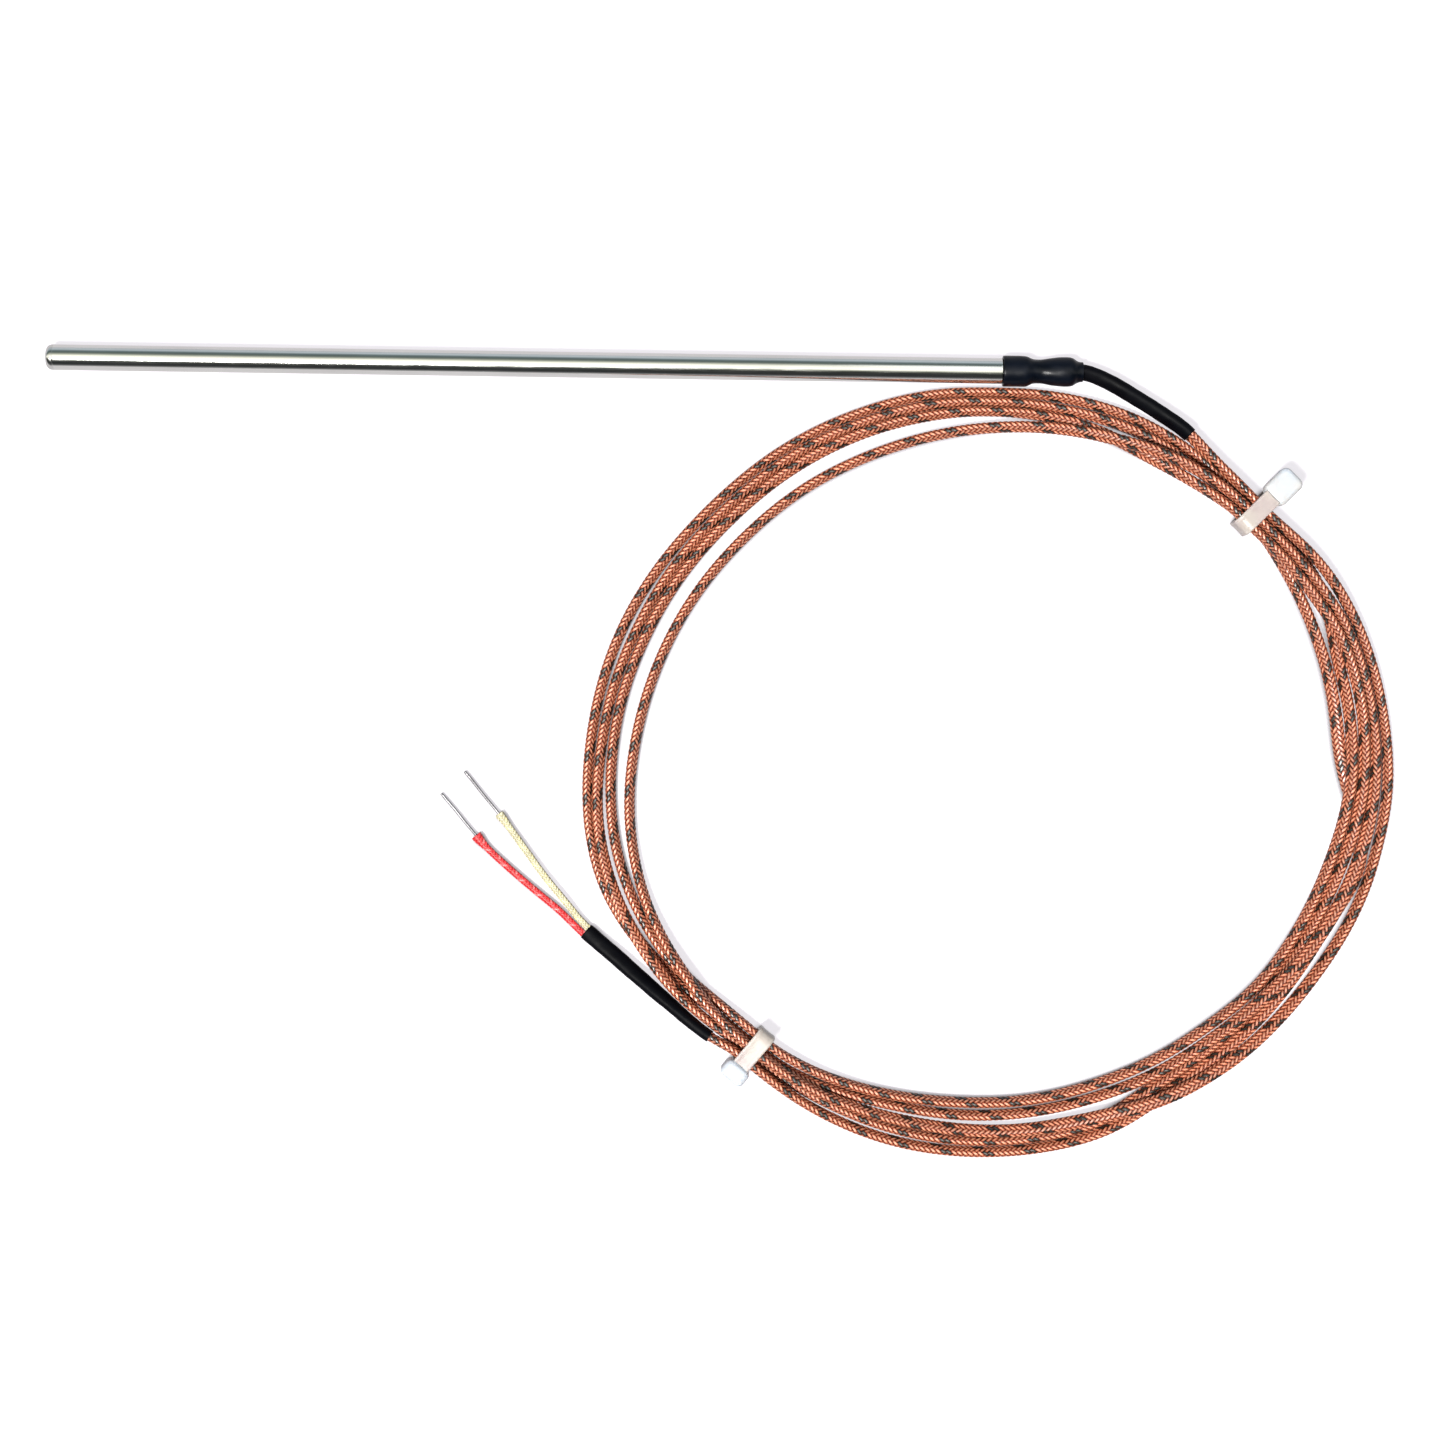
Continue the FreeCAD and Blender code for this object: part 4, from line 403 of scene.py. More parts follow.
def grid(name, rings, material, closed=False):
    """Mesh from closed rings of points. closed joins the last ring to the first; otherwise
    both ends are capped."""
    rings = np.asarray(rings, float)
    count, size = rings.shape[:2]
    verts = rings.reshape(-1, 3)
    i, j = np.meshgrid(np.arange(count if closed else count - 1), np.arange(size), indexing="ij")
    row, row_after, j_after = i * size, (i + 1) % count * size, (j + 1) % size
    quads = np.stack([row + j, row + j_after, row_after + j_after, row_after + j], -1)
    tris = np.zeros((0, 3), int)
    if not closed:
        first_cap = count * size
        end = first_cap - size
        verts = np.r_[verts, rings[:1].mean(1), rings[-1:].mean(1)]
        j, j_after = j[0], j_after[0]
        tris = np.r_[np.stack([np.full(size, first_cap), j_after, j], -1),
                     np.stack([np.full(size, first_cap + 1), end + j, end + j_after], -1)]
    return make(name, verts, quads.reshape(-1, 4), tris, material)


def sweep_rings(line, stations, across, along, offset=0.0):
    """Rings round a line. across, along: section points on the narrow and the wide axis;
    offset: shift of the centre on the wide axis."""
    centre, _, narrow, wide = line.at(stations)
    centre = centre + wide * np.reshape(offset, (-1, 1))
    return (centre[:, None, :] + narrow[:, None, :] * across[..., None]
            + wide[:, None, :] * along[..., None])


def turns(count):
    return np.arange(count) * 2 * math.pi / count


def lathe(name, profile, material, segments=128, closed=True, warp=None):
    """Turned solid about +X from a list of (x, radius)."""
    profile = np.asarray(profile, float)
    turn = turns(segments)
    x = np.repeat(profile[:, :1], segments, 1)
    radius = np.repeat(profile[:, 1:2], segments, 1)
    if warp is not None:
        radius = warp(x, radius, turn[None, :])
    rings = np.stack([x, radius * np.cos(turn), radius * np.sin(turn)], -1)
    return grid(name, rings, material, closed)


def hand_over(ob, piece, slot, *bodies):
    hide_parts(piece)
    if len(bodies) == 1:
        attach(ob, *bodies)
    else:
        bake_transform(ob)


# ------------------------------------------------------------------ braid
YARN_HALF = 0.4                # half a yarn's width, in yarn spacings
YARN_LINES = np.array((-YARN_HALF, -0.15, 0.15, YARN_HALF))
ROWS_PER_PITCH = 8


def lattice(index):
    """Place of a lattice line in yarn spacings; each yarn has four lines."""
    return index // 4 + YARN_LINES[index % 4]


def braid(name, line, rows, pitch, start, section, carriers, high, base, roundness, tracers,
          seed, material, widen=None, drift=0.0, fan=None, lowest=None):
    """Two-over-two braid round a line, as one closed mesh of real relief.

    S and Z yarns cross, each riding over two and under two. rows: first and last lattice row;
    start: arc length of row 0; high, base: height and lift of the relief; roundness: fall to
    a yarn's edges; tracers: marked S and Z carriers; widen: section scale by arc length;
    drift: waver of the weave; fan: arc length from each end in to its cap's apex; lowest: floor
    for z.
    """
    first, last = rows
    around = 4 * carriers
    column, row = np.meshgrid(np.arange(around), np.arange(first, last + 1))
    z_place, s_place = lattice(column), lattice(column - row)
    turn = (z_place + s_place) / 2
    arc = start + pitch * (z_place - s_place) / 2
    s_yarn, z_yarn = np.round(s_place), np.round(z_place)

    def float_wave(phase):
        wave = np.cos(0.5 * math.pi * (phase - 0.5))
        return high * np.sign(wave) * np.abs(wave) ** 0.55

    def fall(offset):
        return roundness * high * (offset / YARN_HALF) ** 2

    height = np.maximum(float_wave(z_place + s_yarn) - fall(s_place - s_yarn),
                        -float_wave(s_place + z_yarn) - fall(z_place - z_yarn))
    relief = (height + high) / (2 * high)
    random = np.random.default_rng(seed)
    if drift:
        arc = arc + drift * (np.sin(arc * 0.071 + 1.3) + 0.6 * np.sin(arc * 0.173 + 0.4))
        turn = turn + 0.10 * np.sin(arc * 0.043 + 0.7) + 0.06 * np.sin(arc * 0.117)
    height = height + base + 0.012 * random.standard_normal(height.shape) * high / 0.085

    across, along, normal_across, normal_along = oval(*section)(turn / carriers)
    scale = 1.0 if widen is None else widen(arc)
    centre, _, narrow, wide = line.at(line.station(arc))
    sleek = unit(narrow * normal_across[..., None] + wide * normal_along[..., None])
    points = (centre + narrow * (across * scale + normal_across * height)[..., None]
              + wide * (along * scale + normal_along * height)[..., None])
    if lowest is not None:
        points[..., 2] = np.maximum(points[..., 2], lowest + 0.02 * (points[..., 2] - lowest))
    verts = points.reshape(-1, 3)

    def index(row, column):
        return (row - first) * around + column % around

    column, row = (v.ravel() for v in np.meshgrid(np.arange(around), np.arange(first + 1, last)))
    quads = np.stack([index(row, column), index(row + 1, column + 1),
                      index(row, column + 1), index(row - 1, column)], -1)

    # which yarn each face belongs to: between the lines of one yarn, or in a gap
    s_line = column - row
    s_yarn, z_yarn = s_line // 4, column // 4
    in_s, in_z = s_line % 4 < 3, column % 4 < 3
    s_over = (s_yarn + z_yarn) % 4 < 2
    is_s = in_s & (~in_z | s_over)
    is_z = in_z & (~in_s | ~s_over)
    # faces in a gap between yarns get the holes' painted shade
    hole_painted_shade = ~in_s & ~in_z
    z0, z1, s0, s1 = lattice(column), lattice(column + 1), lattice(s_line), lattice(s_line + 1)
    corner_z = np.stack([z0, z1, z1, z0], -1)
    corner_s = np.stack([s0, s0, s1, s1], -1)
    s_face = is_s[:, None]
    uv_across = np.where(s_face, corner_s - s_yarn[:, None], corner_z - z_yarn[:, None]) + 0.5
    uv_along = np.where(s_face, corner_z, corner_s)
    uv = np.stack([uv_across, uv_along], -1).reshape(-1, 2)
    s_tones = random.uniform(0.0, 1.0, carriers)
    z_tones = random.uniform(0.0, 1.0, carriers)
    s_carrier, z_carrier = s_yarn % carriers, z_yarn % carriers
    # S floats are made far lighter than Z floats: a painted sheen; the random shift per carrier
    # is real.
    tone_and_sheen = np.where(is_s, 0.62 + 0.38 * s_tones[s_carrier], 0.30 * z_tones[z_carrier])
    tone_and_sheen = np.clip(tone_and_sheen + 0.10 * random.standard_normal(len(tone_and_sheen)), 0, 1)
    tracer = (is_s & np.isin(s_carrier, tracers[0])) | (is_z & np.isin(z_carrier, tracers[1]))
    yarn = np.repeat(np.stack([tracer, tone_and_sheen, hole_painted_shade, np.ones(len(tone_and_sheen))], -1), 4, axis=0)

    # a fan of triangles closes each zigzag end
    k = np.arange(around)
    near_edge = np.stack([index(first + 1, k), index(first, k)], -1).ravel()
    far_edge = np.stack([index(last - 1, k), index(last, k + 1)], -1).ravel()
    apexes = []
    for edge, row, way in ((near_edge, first, 1), (far_edge, last, -1)):
        apex = verts[edge].mean(0)
        if fan:
            inward = start + pitch * row / ROWS_PER_PITCH + way * fan
            apex = line.centre(line.station(np.clip(inward, 0, line.length)))
        apexes.append(apex)
    apex_index = np.full(len(near_edge), len(verts))
    tris = np.r_[np.stack([apex_index, near_edge, np.roll(near_edge, -1)], -1),
                 np.stack([apex_index + 1, np.roll(far_edge, -1), far_edge], -1)]
    # the cap triangles count as holes, so they get the painted shade too
    weave = {
        "uv": np.r_[uv, np.zeros((tris.size, 2))],
        "yarn": np.r_[yarn, np.tile((0.0, 0.5, 1.0, 1.0), (tris.size, 1))],
        "relief": np.r_[relief.ravel(), 0.0, 0.0],
        "sleek": np.r_[sleek.reshape(-1, 3), [(0.0, 0.0, 1.0)] * 2],
    }
    return make(name, np.r_[verts, np.array(apexes)], quads, tris, material, weave)


# ------------------------------------------------------------------ materials
def srgb(*colour):
    """Linear RGBA from 8-bit sRGB."""
    shares = [c / 255 for c in colour]
    return (*(c / 12.92 if c <= 0.04045 else ((c + 0.055) / 1.055) ** 2.4 for c in shares), 1.0)


def dimmed(colour, by):
    return tuple(c * by for c in colour[:3]) + (1.0,)


class Nodes:
    """Short way to build a material's or world's nodes."""

    def __init__(self, owner, shader="BSDF_PRINCIPLED"):
        self.owner = owner
        owner.use_nodes = True
        self.tree = owner.node_tree
        self.shader = next(n for n in self.tree.nodes if n.type == shader)

    def new(self, kind, **settings):
        node = self.tree.nodes.new(kind)
        for key, value in settings.items():
            setattr(node, key, value)
        return node

    def put(self, socket, value):
        if isinstance(value, bpy.types.NodeSocket):
            self.tree.links.new(value, socket)
        elif value is not None:
            socket.default_value = value

    def put_all(self, node, *values):
        for socket, value in zip(node.inputs, values):
            self.put(socket, value)
        return node.outputs[0]

    def math(self, operation, *values):
        return self.put_all(self.new("ShaderNodeMath", operation=operation), *values)

    def scaled(self, value, by, plus):
        return self.math("MULTIPLY_ADD", value, by, plus)

    def mix(self, factor, a, b, blend="MIX"):
        node = self.new("ShaderNodeMix", data_type="RGBA", blend_type=blend)
        for key, value in (("Factor", factor), ("A", a), ("B", b)):
            self.put(node.inputs[key], value)
        return node.outputs["Result"]

    def noise(self, vector, scale, detail=3.0, rough=0.55):
        node = self.new("ShaderNodeTexNoise")
        for key, value in (("Vector", vector), ("Scale", scale), ("Detail", detail),
                           ("Roughness", rough)):
            self.put(node.inputs[key], value)
        return node.outputs[0]

    def remap(self, value, span, to=(0.0, 1.0)):
        return self.put_all(self.new("ShaderNodeMapRange"), value, *span, *to)

    def space(self, *scale):
        """Object coordinates, scaled along x, y and z."""
        coordinates = self.new("ShaderNodeTexCoord")
        mapping = self.new("ShaderNodeMapping")
        self.put(mapping.inputs["Vector"], coordinates.outputs["Object"])
        mapping.inputs["Scale"].default_value = scale or (1, 1, 1)
        return mapping.outputs[0]

    def attribute(self, name, output="Fac"):
        return self.new("ShaderNodeAttribute", attribute_name=name).outputs[output]

    def split(self, value, kind="ShaderNodeSeparateXYZ"):
        node = self.new(kind)
        self.put(node.inputs[0], value)
        return node.outputs

    def bump(self, height, distance, strength=0.5, normal=None):
        node = self.new("ShaderNodeBump")
        for key, value in (("Strength", strength), ("Distance", distance), ("Height", height),
                           ("Normal", normal)):
            self.put(node.inputs[key], value)
        return node.outputs[0]

    def finish(self, **inputs):
        """Set the shader's inputs, named with _ for spaces."""
        for key, value in inputs.items():
            self.put(self.shader.inputs[key.replace("_", " ")], value)
        return self.owner


def new_material(name):
    return Nodes(bpy.data.materials.new(name))


def yarn_material(name, colours, rough=0.42, specular=0.6, sheen=0.15, coat=0.0):
    """Braided fibre. colours, 8-bit: a float's valleys (painted shade), flank and crowns
    (painted highlight); a tracer's valleys and crowns (painted highlight); the holes (painted
    shade)."""
    valley_painted_shade, flank, crown_painted_highlight, tracer_valley, tracer_crown_painted_highlight, hole_painted_shade = (srgb(*c) for c in colours)
    fibres_per_yarn = 5.0
    n = new_material(name)
    space = n.space()
    tracer, tone_and_sheen, in_hole = n.split(n.attribute("yarn", "Color"), "ShaderNodeSeparateColor")
    relief = n.attribute("relief")
    weave = n.new("ShaderNodeUVMap", uv_map="Weave").outputs[0]
    across = n.split(weave)[0]
    waver = n.math("MULTIPLY", n.noise(weave, scale=1.7, detail=2.0), 3.0)
    phase = n.scaled(across, by=fibres_per_yarn * 2 * math.pi, plus=waver)
    fibre = n.scaled(n.math("SINE", phase), by=0.5, plus=0.5)
    patch = n.noise(space, scale=55.0)
    fine = n.noise(space, scale=2600.0, detail=2.0)
    # Low relief takes the valleys colour and high relief the cream crowns colour: painted shade
    # in the valleys, a painted highlight on the crowns.
    colour = n.mix(n.remap(relief, span=(0.08, 0.52)), valley_painted_shade, flank)
    colour = n.mix(n.remap(relief, span=(0.58, 0.98)), colour, crown_painted_highlight)
    # The yarn attribute's second channel holds the S floats' painted sheen and each carrier's
    # random shift.
    tint = n.scaled(tone_and_sheen, by=0.50, plus=0.60)
    tint = n.math("MULTIPLY", tint, n.remap(patch, span=(0.3, 0.7), to=(0.9, 1.08)))
    tint = n.math("MULTIPLY", tint, n.scaled(fibre, by=0.22, plus=0.86))
    tint = n.math("MULTIPLY", tint, n.remap(fine, span=(0.25, 0.75), to=(0.9, 1.08)))
    colour = n.mix(1.0, colour, tint, "MULTIPLY")
    # Tracer yarns take the lighter tracer crowns colour on their high relief and fibres: a
    # painted highlight.
    tracer_painted_highlight = n.math("MULTIPLY", n.remap(relief, span=(0.05, 0.80)), fibre)
    colour = n.mix(tracer, colour, n.mix(tracer_painted_highlight, tracer_valley, tracer_crown_painted_highlight))
    # Holes between the yarns are near-black: painted shade.
    colour = n.mix(in_hole, colour, hole_painted_shade)
    roughness = n.math("ADD", n.remap(fibre, span=(0.0, 1.0), to=(rough + 0.10, rough - 0.04)),
                       n.remap(fine, span=(0.3, 0.7), to=(-0.04, 0.06)))
    grain = n.scaled(fibre, by=0.7, plus=n.math("MULTIPLY", fine, 0.3))
    if coat:
        # the coat shines along the cable's smooth outline, on the crowns only
        to_world = n.new("ShaderNodeVectorTransform", vector_type="NORMAL",
                         convert_from="OBJECT", convert_to="WORLD")
        n.put(to_world.inputs[0], n.attribute("sleek", "Vector"))
        crowns = n.remap(relief, span=(0.55, 0.85), to=(0.0, coat))
        n.finish(Coat_Weight=n.math("MULTIPLY", crowns, n.math("SUBTRACT", 1.0, in_hole)),
                 Coat_Roughness=0.40, Coat_IOR=1.76, Coat_Normal=to_world.outputs[0])
    return n.finish(Base_Color=colour, Roughness=roughness,
                    Normal=n.bump(grain, distance=0.000011, strength=0.8),
                    Specular_IOR_Level=specular, Sheen_Weight=sheen, Sheen_Roughness=0.4)


def steel(name, base, rough, line_depth=1.0):
    """Bright steel with fine lines along x."""
    n = new_material(name)
    drawn = n.noise(n.space(35.0, 900.0, 900.0), scale=4.0, detail=4.0, rough=0.7)
    blotch = n.noise(n.space(60, 160, 160), scale=1.0)
    fine = n.noise(n.space(200, 3000, 3000), scale=1.0, detail=2.0)
    roughness = n.math("ADD", n.remap(drawn, span=(0.3, 0.75), to=(rough - 0.02, rough + 0.07)),
                       n.remap(fine, span=(0.55, 0.8), to=(0.0, 0.05)))
    colour = n.mix(n.remap(blotch, span=(0.3, 0.7)), base, dimmed(base, by=0.9))
    return n.finish(Base_Color=colour, Metallic=1.0, Roughness=roughness,
                    Normal=n.bump(drawn, distance=0.000006 * line_depth))


def wire_material(name, base, rough):
    n = new_material(name)
    die = n.noise(n.space(300, 300, 300), scale=1.0, detail=4.0)
    colour = n.mix(n.remap(die, span=(0.35, 0.7)), base, dimmed(base, by=0.72))
    roughness = n.remap(die, span=(0.3, 0.7), to=(rough - 0.06, rough + 0.1))
    return n.finish(Base_Color=colour, Metallic=1.0, Roughness=roughness)


def rubber(name, dark, light, scuffed, rough, wrinkle, shine):
    n = new_material(name)
    grain = n.noise(n.space(), scale=3800.0)
    soft = n.noise(n.space(260, 420, 420), scale=1.0)
    blotch = n.noise(n.space(), scale=240.0)
    scuff = n.noise(n.space(500, 2400, 2400), scale=1.0, detail=4.0, rough=0.75)
    mark = n.remap(scuff, span=(0.62, 0.78))
    colour = n.mix(n.remap(blotch, span=(0.3, 0.7)), dark, light)
    colour = n.mix(n.math("MULTIPLY", mark, 0.35), colour, scuffed)
    roughness = n.math("ADD", n.remap(blotch, span=(0.3, 0.7), to=(rough - 0.05, rough + 0.08)),
                       n.math("MULTIPLY", mark, 0.12))
    normal = n.bump(grain, distance=0.000012, normal=n.bump(soft, distance=0.00006 * wrinkle))
    return n.finish(Base_Color=colour, Roughness=roughness, Normal=normal,
                    Specular_IOR_Level=shine)


def nylon_material(name, light, dark, warm):
    n = new_material(name)
    cloud = n.noise(n.space(), scale=420.0, detail=4.0)
    grain = n.noise(n.space(), scale=4200.0)
    warmth = n.noise(n.space(), scale=150.0, detail=2.0)
    colour = n.mix(n.remap(cloud, span=(0.3, 0.7)), light, dark)
    colour = n.mix(n.remap(warmth, span=(0.42, 0.62)), colour, warm)
    n.shader.subsurface_method = "RANDOM_WALK"
    return n.finish(Base_Color=colour,
                    Roughness=n.remap(grain, span=(0.3, 0.7), to=(0.30, 0.44)),
                    Normal=n.bump(grain, distance=0.000012), Subsurface_Weight=0.55,
                    Subsurface_Radius=(1.0, 0.9, 0.85), Subsurface_Scale=0.0012,
                    Specular_IOR_Level=0.5)


def grainy(name, light, dark, scale, rough, bump, detail=4.0, strength=0.5, low=0.3,
           stretch=(), **inputs):
    """One noise drives colour, roughness and bump; low: noise value where light starts to
    turn dark."""
    n = new_material(name)
    grit = n.noise(n.space(*stretch), scale=scale, detail=detail)
    return n.finish(Base_Color=n.mix(n.remap(grit, span=(low, 0.7)), light, dark),
                    Roughness=n.remap(grit, span=(0.3, 0.7), to=rough),
                    Normal=n.bump(grit, distance=bump, strength=strength), **inputs)


def potting(name, light, dark):
    return grainy(name, light, dark, scale=1800.0, rough=(0.6, 0.85), bump=0.00004, strength=0.6)


# In each braid colour list, the valleys and holes colours are painted shade, and the crowns and
# tracer crowns colours are painted highlights.
copper = yarn_material("braid_copper", (
    (30, 8, 5), (172, 88, 62), (248, 174, 136), (3, 3, 3), (44, 40, 30), (12, 3, 2)),
    rough=0.34, specular=0.16, sheen=0.0, coat=1.0)
# The red lead's pink tracer yarns are painted pinkish highlights.
lead_red = yarn_material("lead_red", (
    (150, 6, 12), (232, 26, 34), (248, 70, 74), (226, 78, 82), (244, 150, 148), (120, 4, 10)))
lead_yellow = yarn_material("lead_yellow", (
    (166, 158, 118), (214, 208, 170), (234, 229, 202), (225, 210, 140), (250, 244, 205),
    (160, 146, 90)))
core_red = yarn_material("core_red", (
    (120, 8, 12), (205, 26, 32), (225, 60, 62), (200, 90, 90), (230, 160, 160), (100, 5, 8)))
core_yellow = yarn_material("core_yellow", (
    (180, 160, 90), (226, 210, 140), (240, 228, 170), (200, 190, 120), (240, 230, 180),
    (150, 130, 70)))
steel_tube = steel("stainless_drawn", srgb(226, 226, 222), rough=0.10)
steel_tip = steel("stainless_turned", srgb(214, 214, 210), rough=0.15, line_depth=2.0)
wire_negative = wire_material("alloy_wire_negative", srgb(150, 149, 152), rough=0.46)
wire_positive = wire_material("alloy_wire_positive", srgb(142, 140, 143), rough=0.48)
shrink = rubber("heat_shrink", srgb(2, 2, 5), srgb(5, 6, 11), srgb(18, 20, 29),
                rough=0.52, wrinkle=1.0, shine=0.06)
boot_rubber = rubber("heat_shrink_boot", srgb(3, 6, 13), srgb(8, 13, 24), srgb(30, 40, 57),
                     rough=0.32, wrinkle=1.4, shine=0.15)
nylon_head = nylon_material(
    "nylon_head", srgb(198, 205, 214), srgb(190, 197, 208), srgb(200, 200, 200))
# The strap's copy of the nylon is darker and pinker than the head's: a painted tint of the orange
# braid's light showing through the strap.
nylon_strap_painted_braid_light = nylon_material(
    "nylon_strap_painted_braid_light", srgb(184, 172, 169), srgb(174, 162, 160), srgb(186, 178, 171))
ceramic = grainy("ceramic_bead", srgb(238, 232, 216), srgb(214, 204, 182), scale=2600.0,
                 detail=3.0, low=0.35, rough=(0.5, 0.7), bump=0.00002)
cement = potting("cement", srgb(200, 196, 184), srgb(160, 154, 142))
seal = potting("epoxy_seal", srgb(46, 36, 30), srgb(28, 22, 20))
tin = grainy("ferrule_tin", srgb(206, 204, 196), srgb(180, 176, 166), scale=1.0, detail=3.0,
             rough=(0.25, 0.4), bump=0.00001, stretch=(300, 2000, 2000), Metallic=1.0)
bush = potting("bush_rubber", srgb(40, 40, 42), srgb(26, 26, 28))

# CAD pieces that keep their own mesh
KEPT_PIECES = {
    **{"insulator_bead_%d" % i: ceramic for i in range(1, 9)},
    "tip_cement": cement,
    "rear_seal": seal,
    "crimp_bush": bush,
    "splice_ferrule_negative": tin,
    "thermoelement_negative": wire_negative,
    "splice_ferrule_positive": tin,
    "thermoelement_positive": wire_positive,
    "hot_junction": wire_positive,
}
for piece, material in KEPT_PIECES.items():
    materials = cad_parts[piece].data.materials
    materials.clear()
    materials.append(material)


# ------------------------------------------------------------------ sheath
def build_tip():
    """Closed tip: a nearly flat nose with a rolled edge, and a step down to the tube's joint."""
    roll_length, roll_radius = 1.12, 0.98
    profile = [(0.0, 0.0), (0.0, 0.35), (0.008, 0.7), (0.03, 1.05), (0.07, 1.35)]
    profile += [(roll_length - roll_length * math.cos(a),
                 (TUBE_RADIUS - roll_radius) + roll_radius * math.sin(a))
                for a in np.radians(np.linspace(9, 90, 18))]
    profile += [(1.30, 2.5), (1.36, 2.496), (1.40, 2.485), (1.43, 2.47), (1.45, 2.45),
                (1.45, 2.06), (2.5, 2.06), (2.5, 0.0)]
    tip = lathe("tip_plug_visual", profile, steel_tip, closed=False)
    hand_over(tip, "tip_plug", "sheath_steel", "probe")


def crimp(x, radius):
    """Radius through the groove pressed round the tube's far end."""
    return radius - 0.25 + 0.25 * float(smooth(abs(x - 193.2) - 0.9))


def build_tube():
    """Open tube, outside from tip to far end, then back along the bore."""
    outer, inner = 2.3, 1.9  # the necked far end
    profile = [(1.45, 2.45), (1.46, 2.478), (1.49, 2.492), (1.54, 2.498), (1.60, 2.5)]
    profile += [(x, TUBE_RADIUS) for x in np.linspace(4.0, 185.6, 46)]
    profile += [(185.9, 2.5), (186.15, 2.5), (186.24, 2.46), (186.33, 2.37), (186.42, 2.31)]
    profile += [(x, outer) for x in (186.6, 187.5, 189.5, 191.0)]
    profile += [(x, crimp(x, outer)) for x in np.linspace(191.4, 195.0, 15)]
    profile += [(x, outer) for x in (195.6, 197.0, 199.0, 199.8)]
    profile += [(199.92, 2.28), (200.0, 2.2), (200.0, 2.0), (199.92, 1.92)]
    profile += [(x, inner) for x in (199.0, 197.0, 195.6)]
    profile += [(x, crimp(x, inner)) for x in np.linspace(195.0, 191.4, 15)]
    profile += [(x, inner) for x in (191.0, 189.5, 187.0)]
    profile += [(186.4, 1.92), (186.2, 2.02), (186.0, 2.08), (185.6, 2.1)]
    profile += [(x, 2.1) for x in np.linspace(180.0, 3.0, 16)] + [(1.45, 2.1)]
    tube = lathe("sheath_tube_visual", profile, steel_tube)
    hand_over(tube, "sheath_tube", "sheath_steel", "probe")


build_tip()
build_tube()

# ------------------------------------------------------------------ boot
# x, radius
BOOT_OUT = np.array([
    (186.4, 2.92), (186.75, 3.0), (188.6, 3.0), (190.4, 2.99), (191.3, 2.82), (192.2, 2.43),
    (193.2, 2.33), (194.2, 2.38), (195.6, 2.62), (197.2, 2.8), (198.4, 2.86), (199.2, 2.84),
    (199.8, 2.74), (200.3, 2.5), (200.8, 2.16), (201.4, 1.96), (202.0, 1.92)])
BOOT_IN = np.array([
    (186.4, 2.4), (186.75, 2.36), (188.6, 2.36), (190.9, 2.36), (191.6, 2.3), (192.3, 2.15),
    (193.2, 2.11), (194.1, 2.15), (194.8, 2.3), (195.5, 2.36), (197.0, 2.36), (198.6, 2.36),
    (199.6, 2.37), (200.1, 2.34), (200.5, 2.1), (200.9, 1.86), (201.4, 1.74), (202.0, 1.72)])


def spline(points, x):
    stations = np.linspace(0, len(points) - 1.0, 1200)
    curve = hermite(*segment(points, slopes(points), stations))
    return np.interp(x, curve[:, 0], curve[:, 1])


def boot_warp(x, radius, turn):
    """Slight waves on the outer face, with folds at the groove and at the step down."""
    middle = 0.5 * (np.interp(x, *BOOT_OUT.T) + np.interp(x, *BOOT_IN.T))
    waves = (0.018 * np.sin(3 * turn + 0.8 * x) * np.sin(1.7 * x)
             + 0.012 * np.sin(5 * turn - 1.3 * x + 1.0) + 0.015 * np.sin(2 * turn + 0.35 * x))
    folds = (np.exp(-((x - 192.7) / 1.1) ** 2) * 0.03 * np.cos(7 * turn + 0.4)
             + np.exp(-((x - 200.6) / 0.7) ** 2) * 0.025 * np.cos(6 * turn))
    return radius + (waves * 0.8 + folds) * (radius > middle)


def build_boot():
    start, end = 186.4, 202.0
    out_start, out_end = spline(BOOT_OUT, [start, end])
    in_start, in_end = spline(BOOT_IN, [start, end])
    x_out, x_in = np.linspace(186.52, 201.9, 90), np.linspace(201.9, 186.52, 60)
    profile = list(zip(x_out, spline(BOOT_OUT, x_out)))
    profile += [(end - 0.03, out_end - 0.015), (end, out_end - 0.05),
                (end, in_end + 0.05), (end - 0.03, in_end + 0.015)]
    profile += list(zip(x_in, spline(BOOT_IN, x_in)))
    profile += [(start + 0.03, in_start + 0.03), (start, in_start + 0.08),
                (start, out_start - 0.06), (start + 0.03, out_start - 0.01)]
    boot = lathe("boot_heatshrink_visual", profile, boot_rubber, segments=112, warp=boot_warp)
    hand_over(boot, "boot_heatshrink", "black_heatshrink", "probe")


build_boot()


# ------------------------------------------------------------------ sleeves
def point(place):
    """Vector in metres from a place in millimetres."""
    return Vector([float(value) * MM for value in place])


# the cable bends between the first sleeve's mouth and the boot's end
BEND = ("coil", "probe", point(cable.centre(SLEEVE_END)), point((202.2, 0.0, 0.0)))


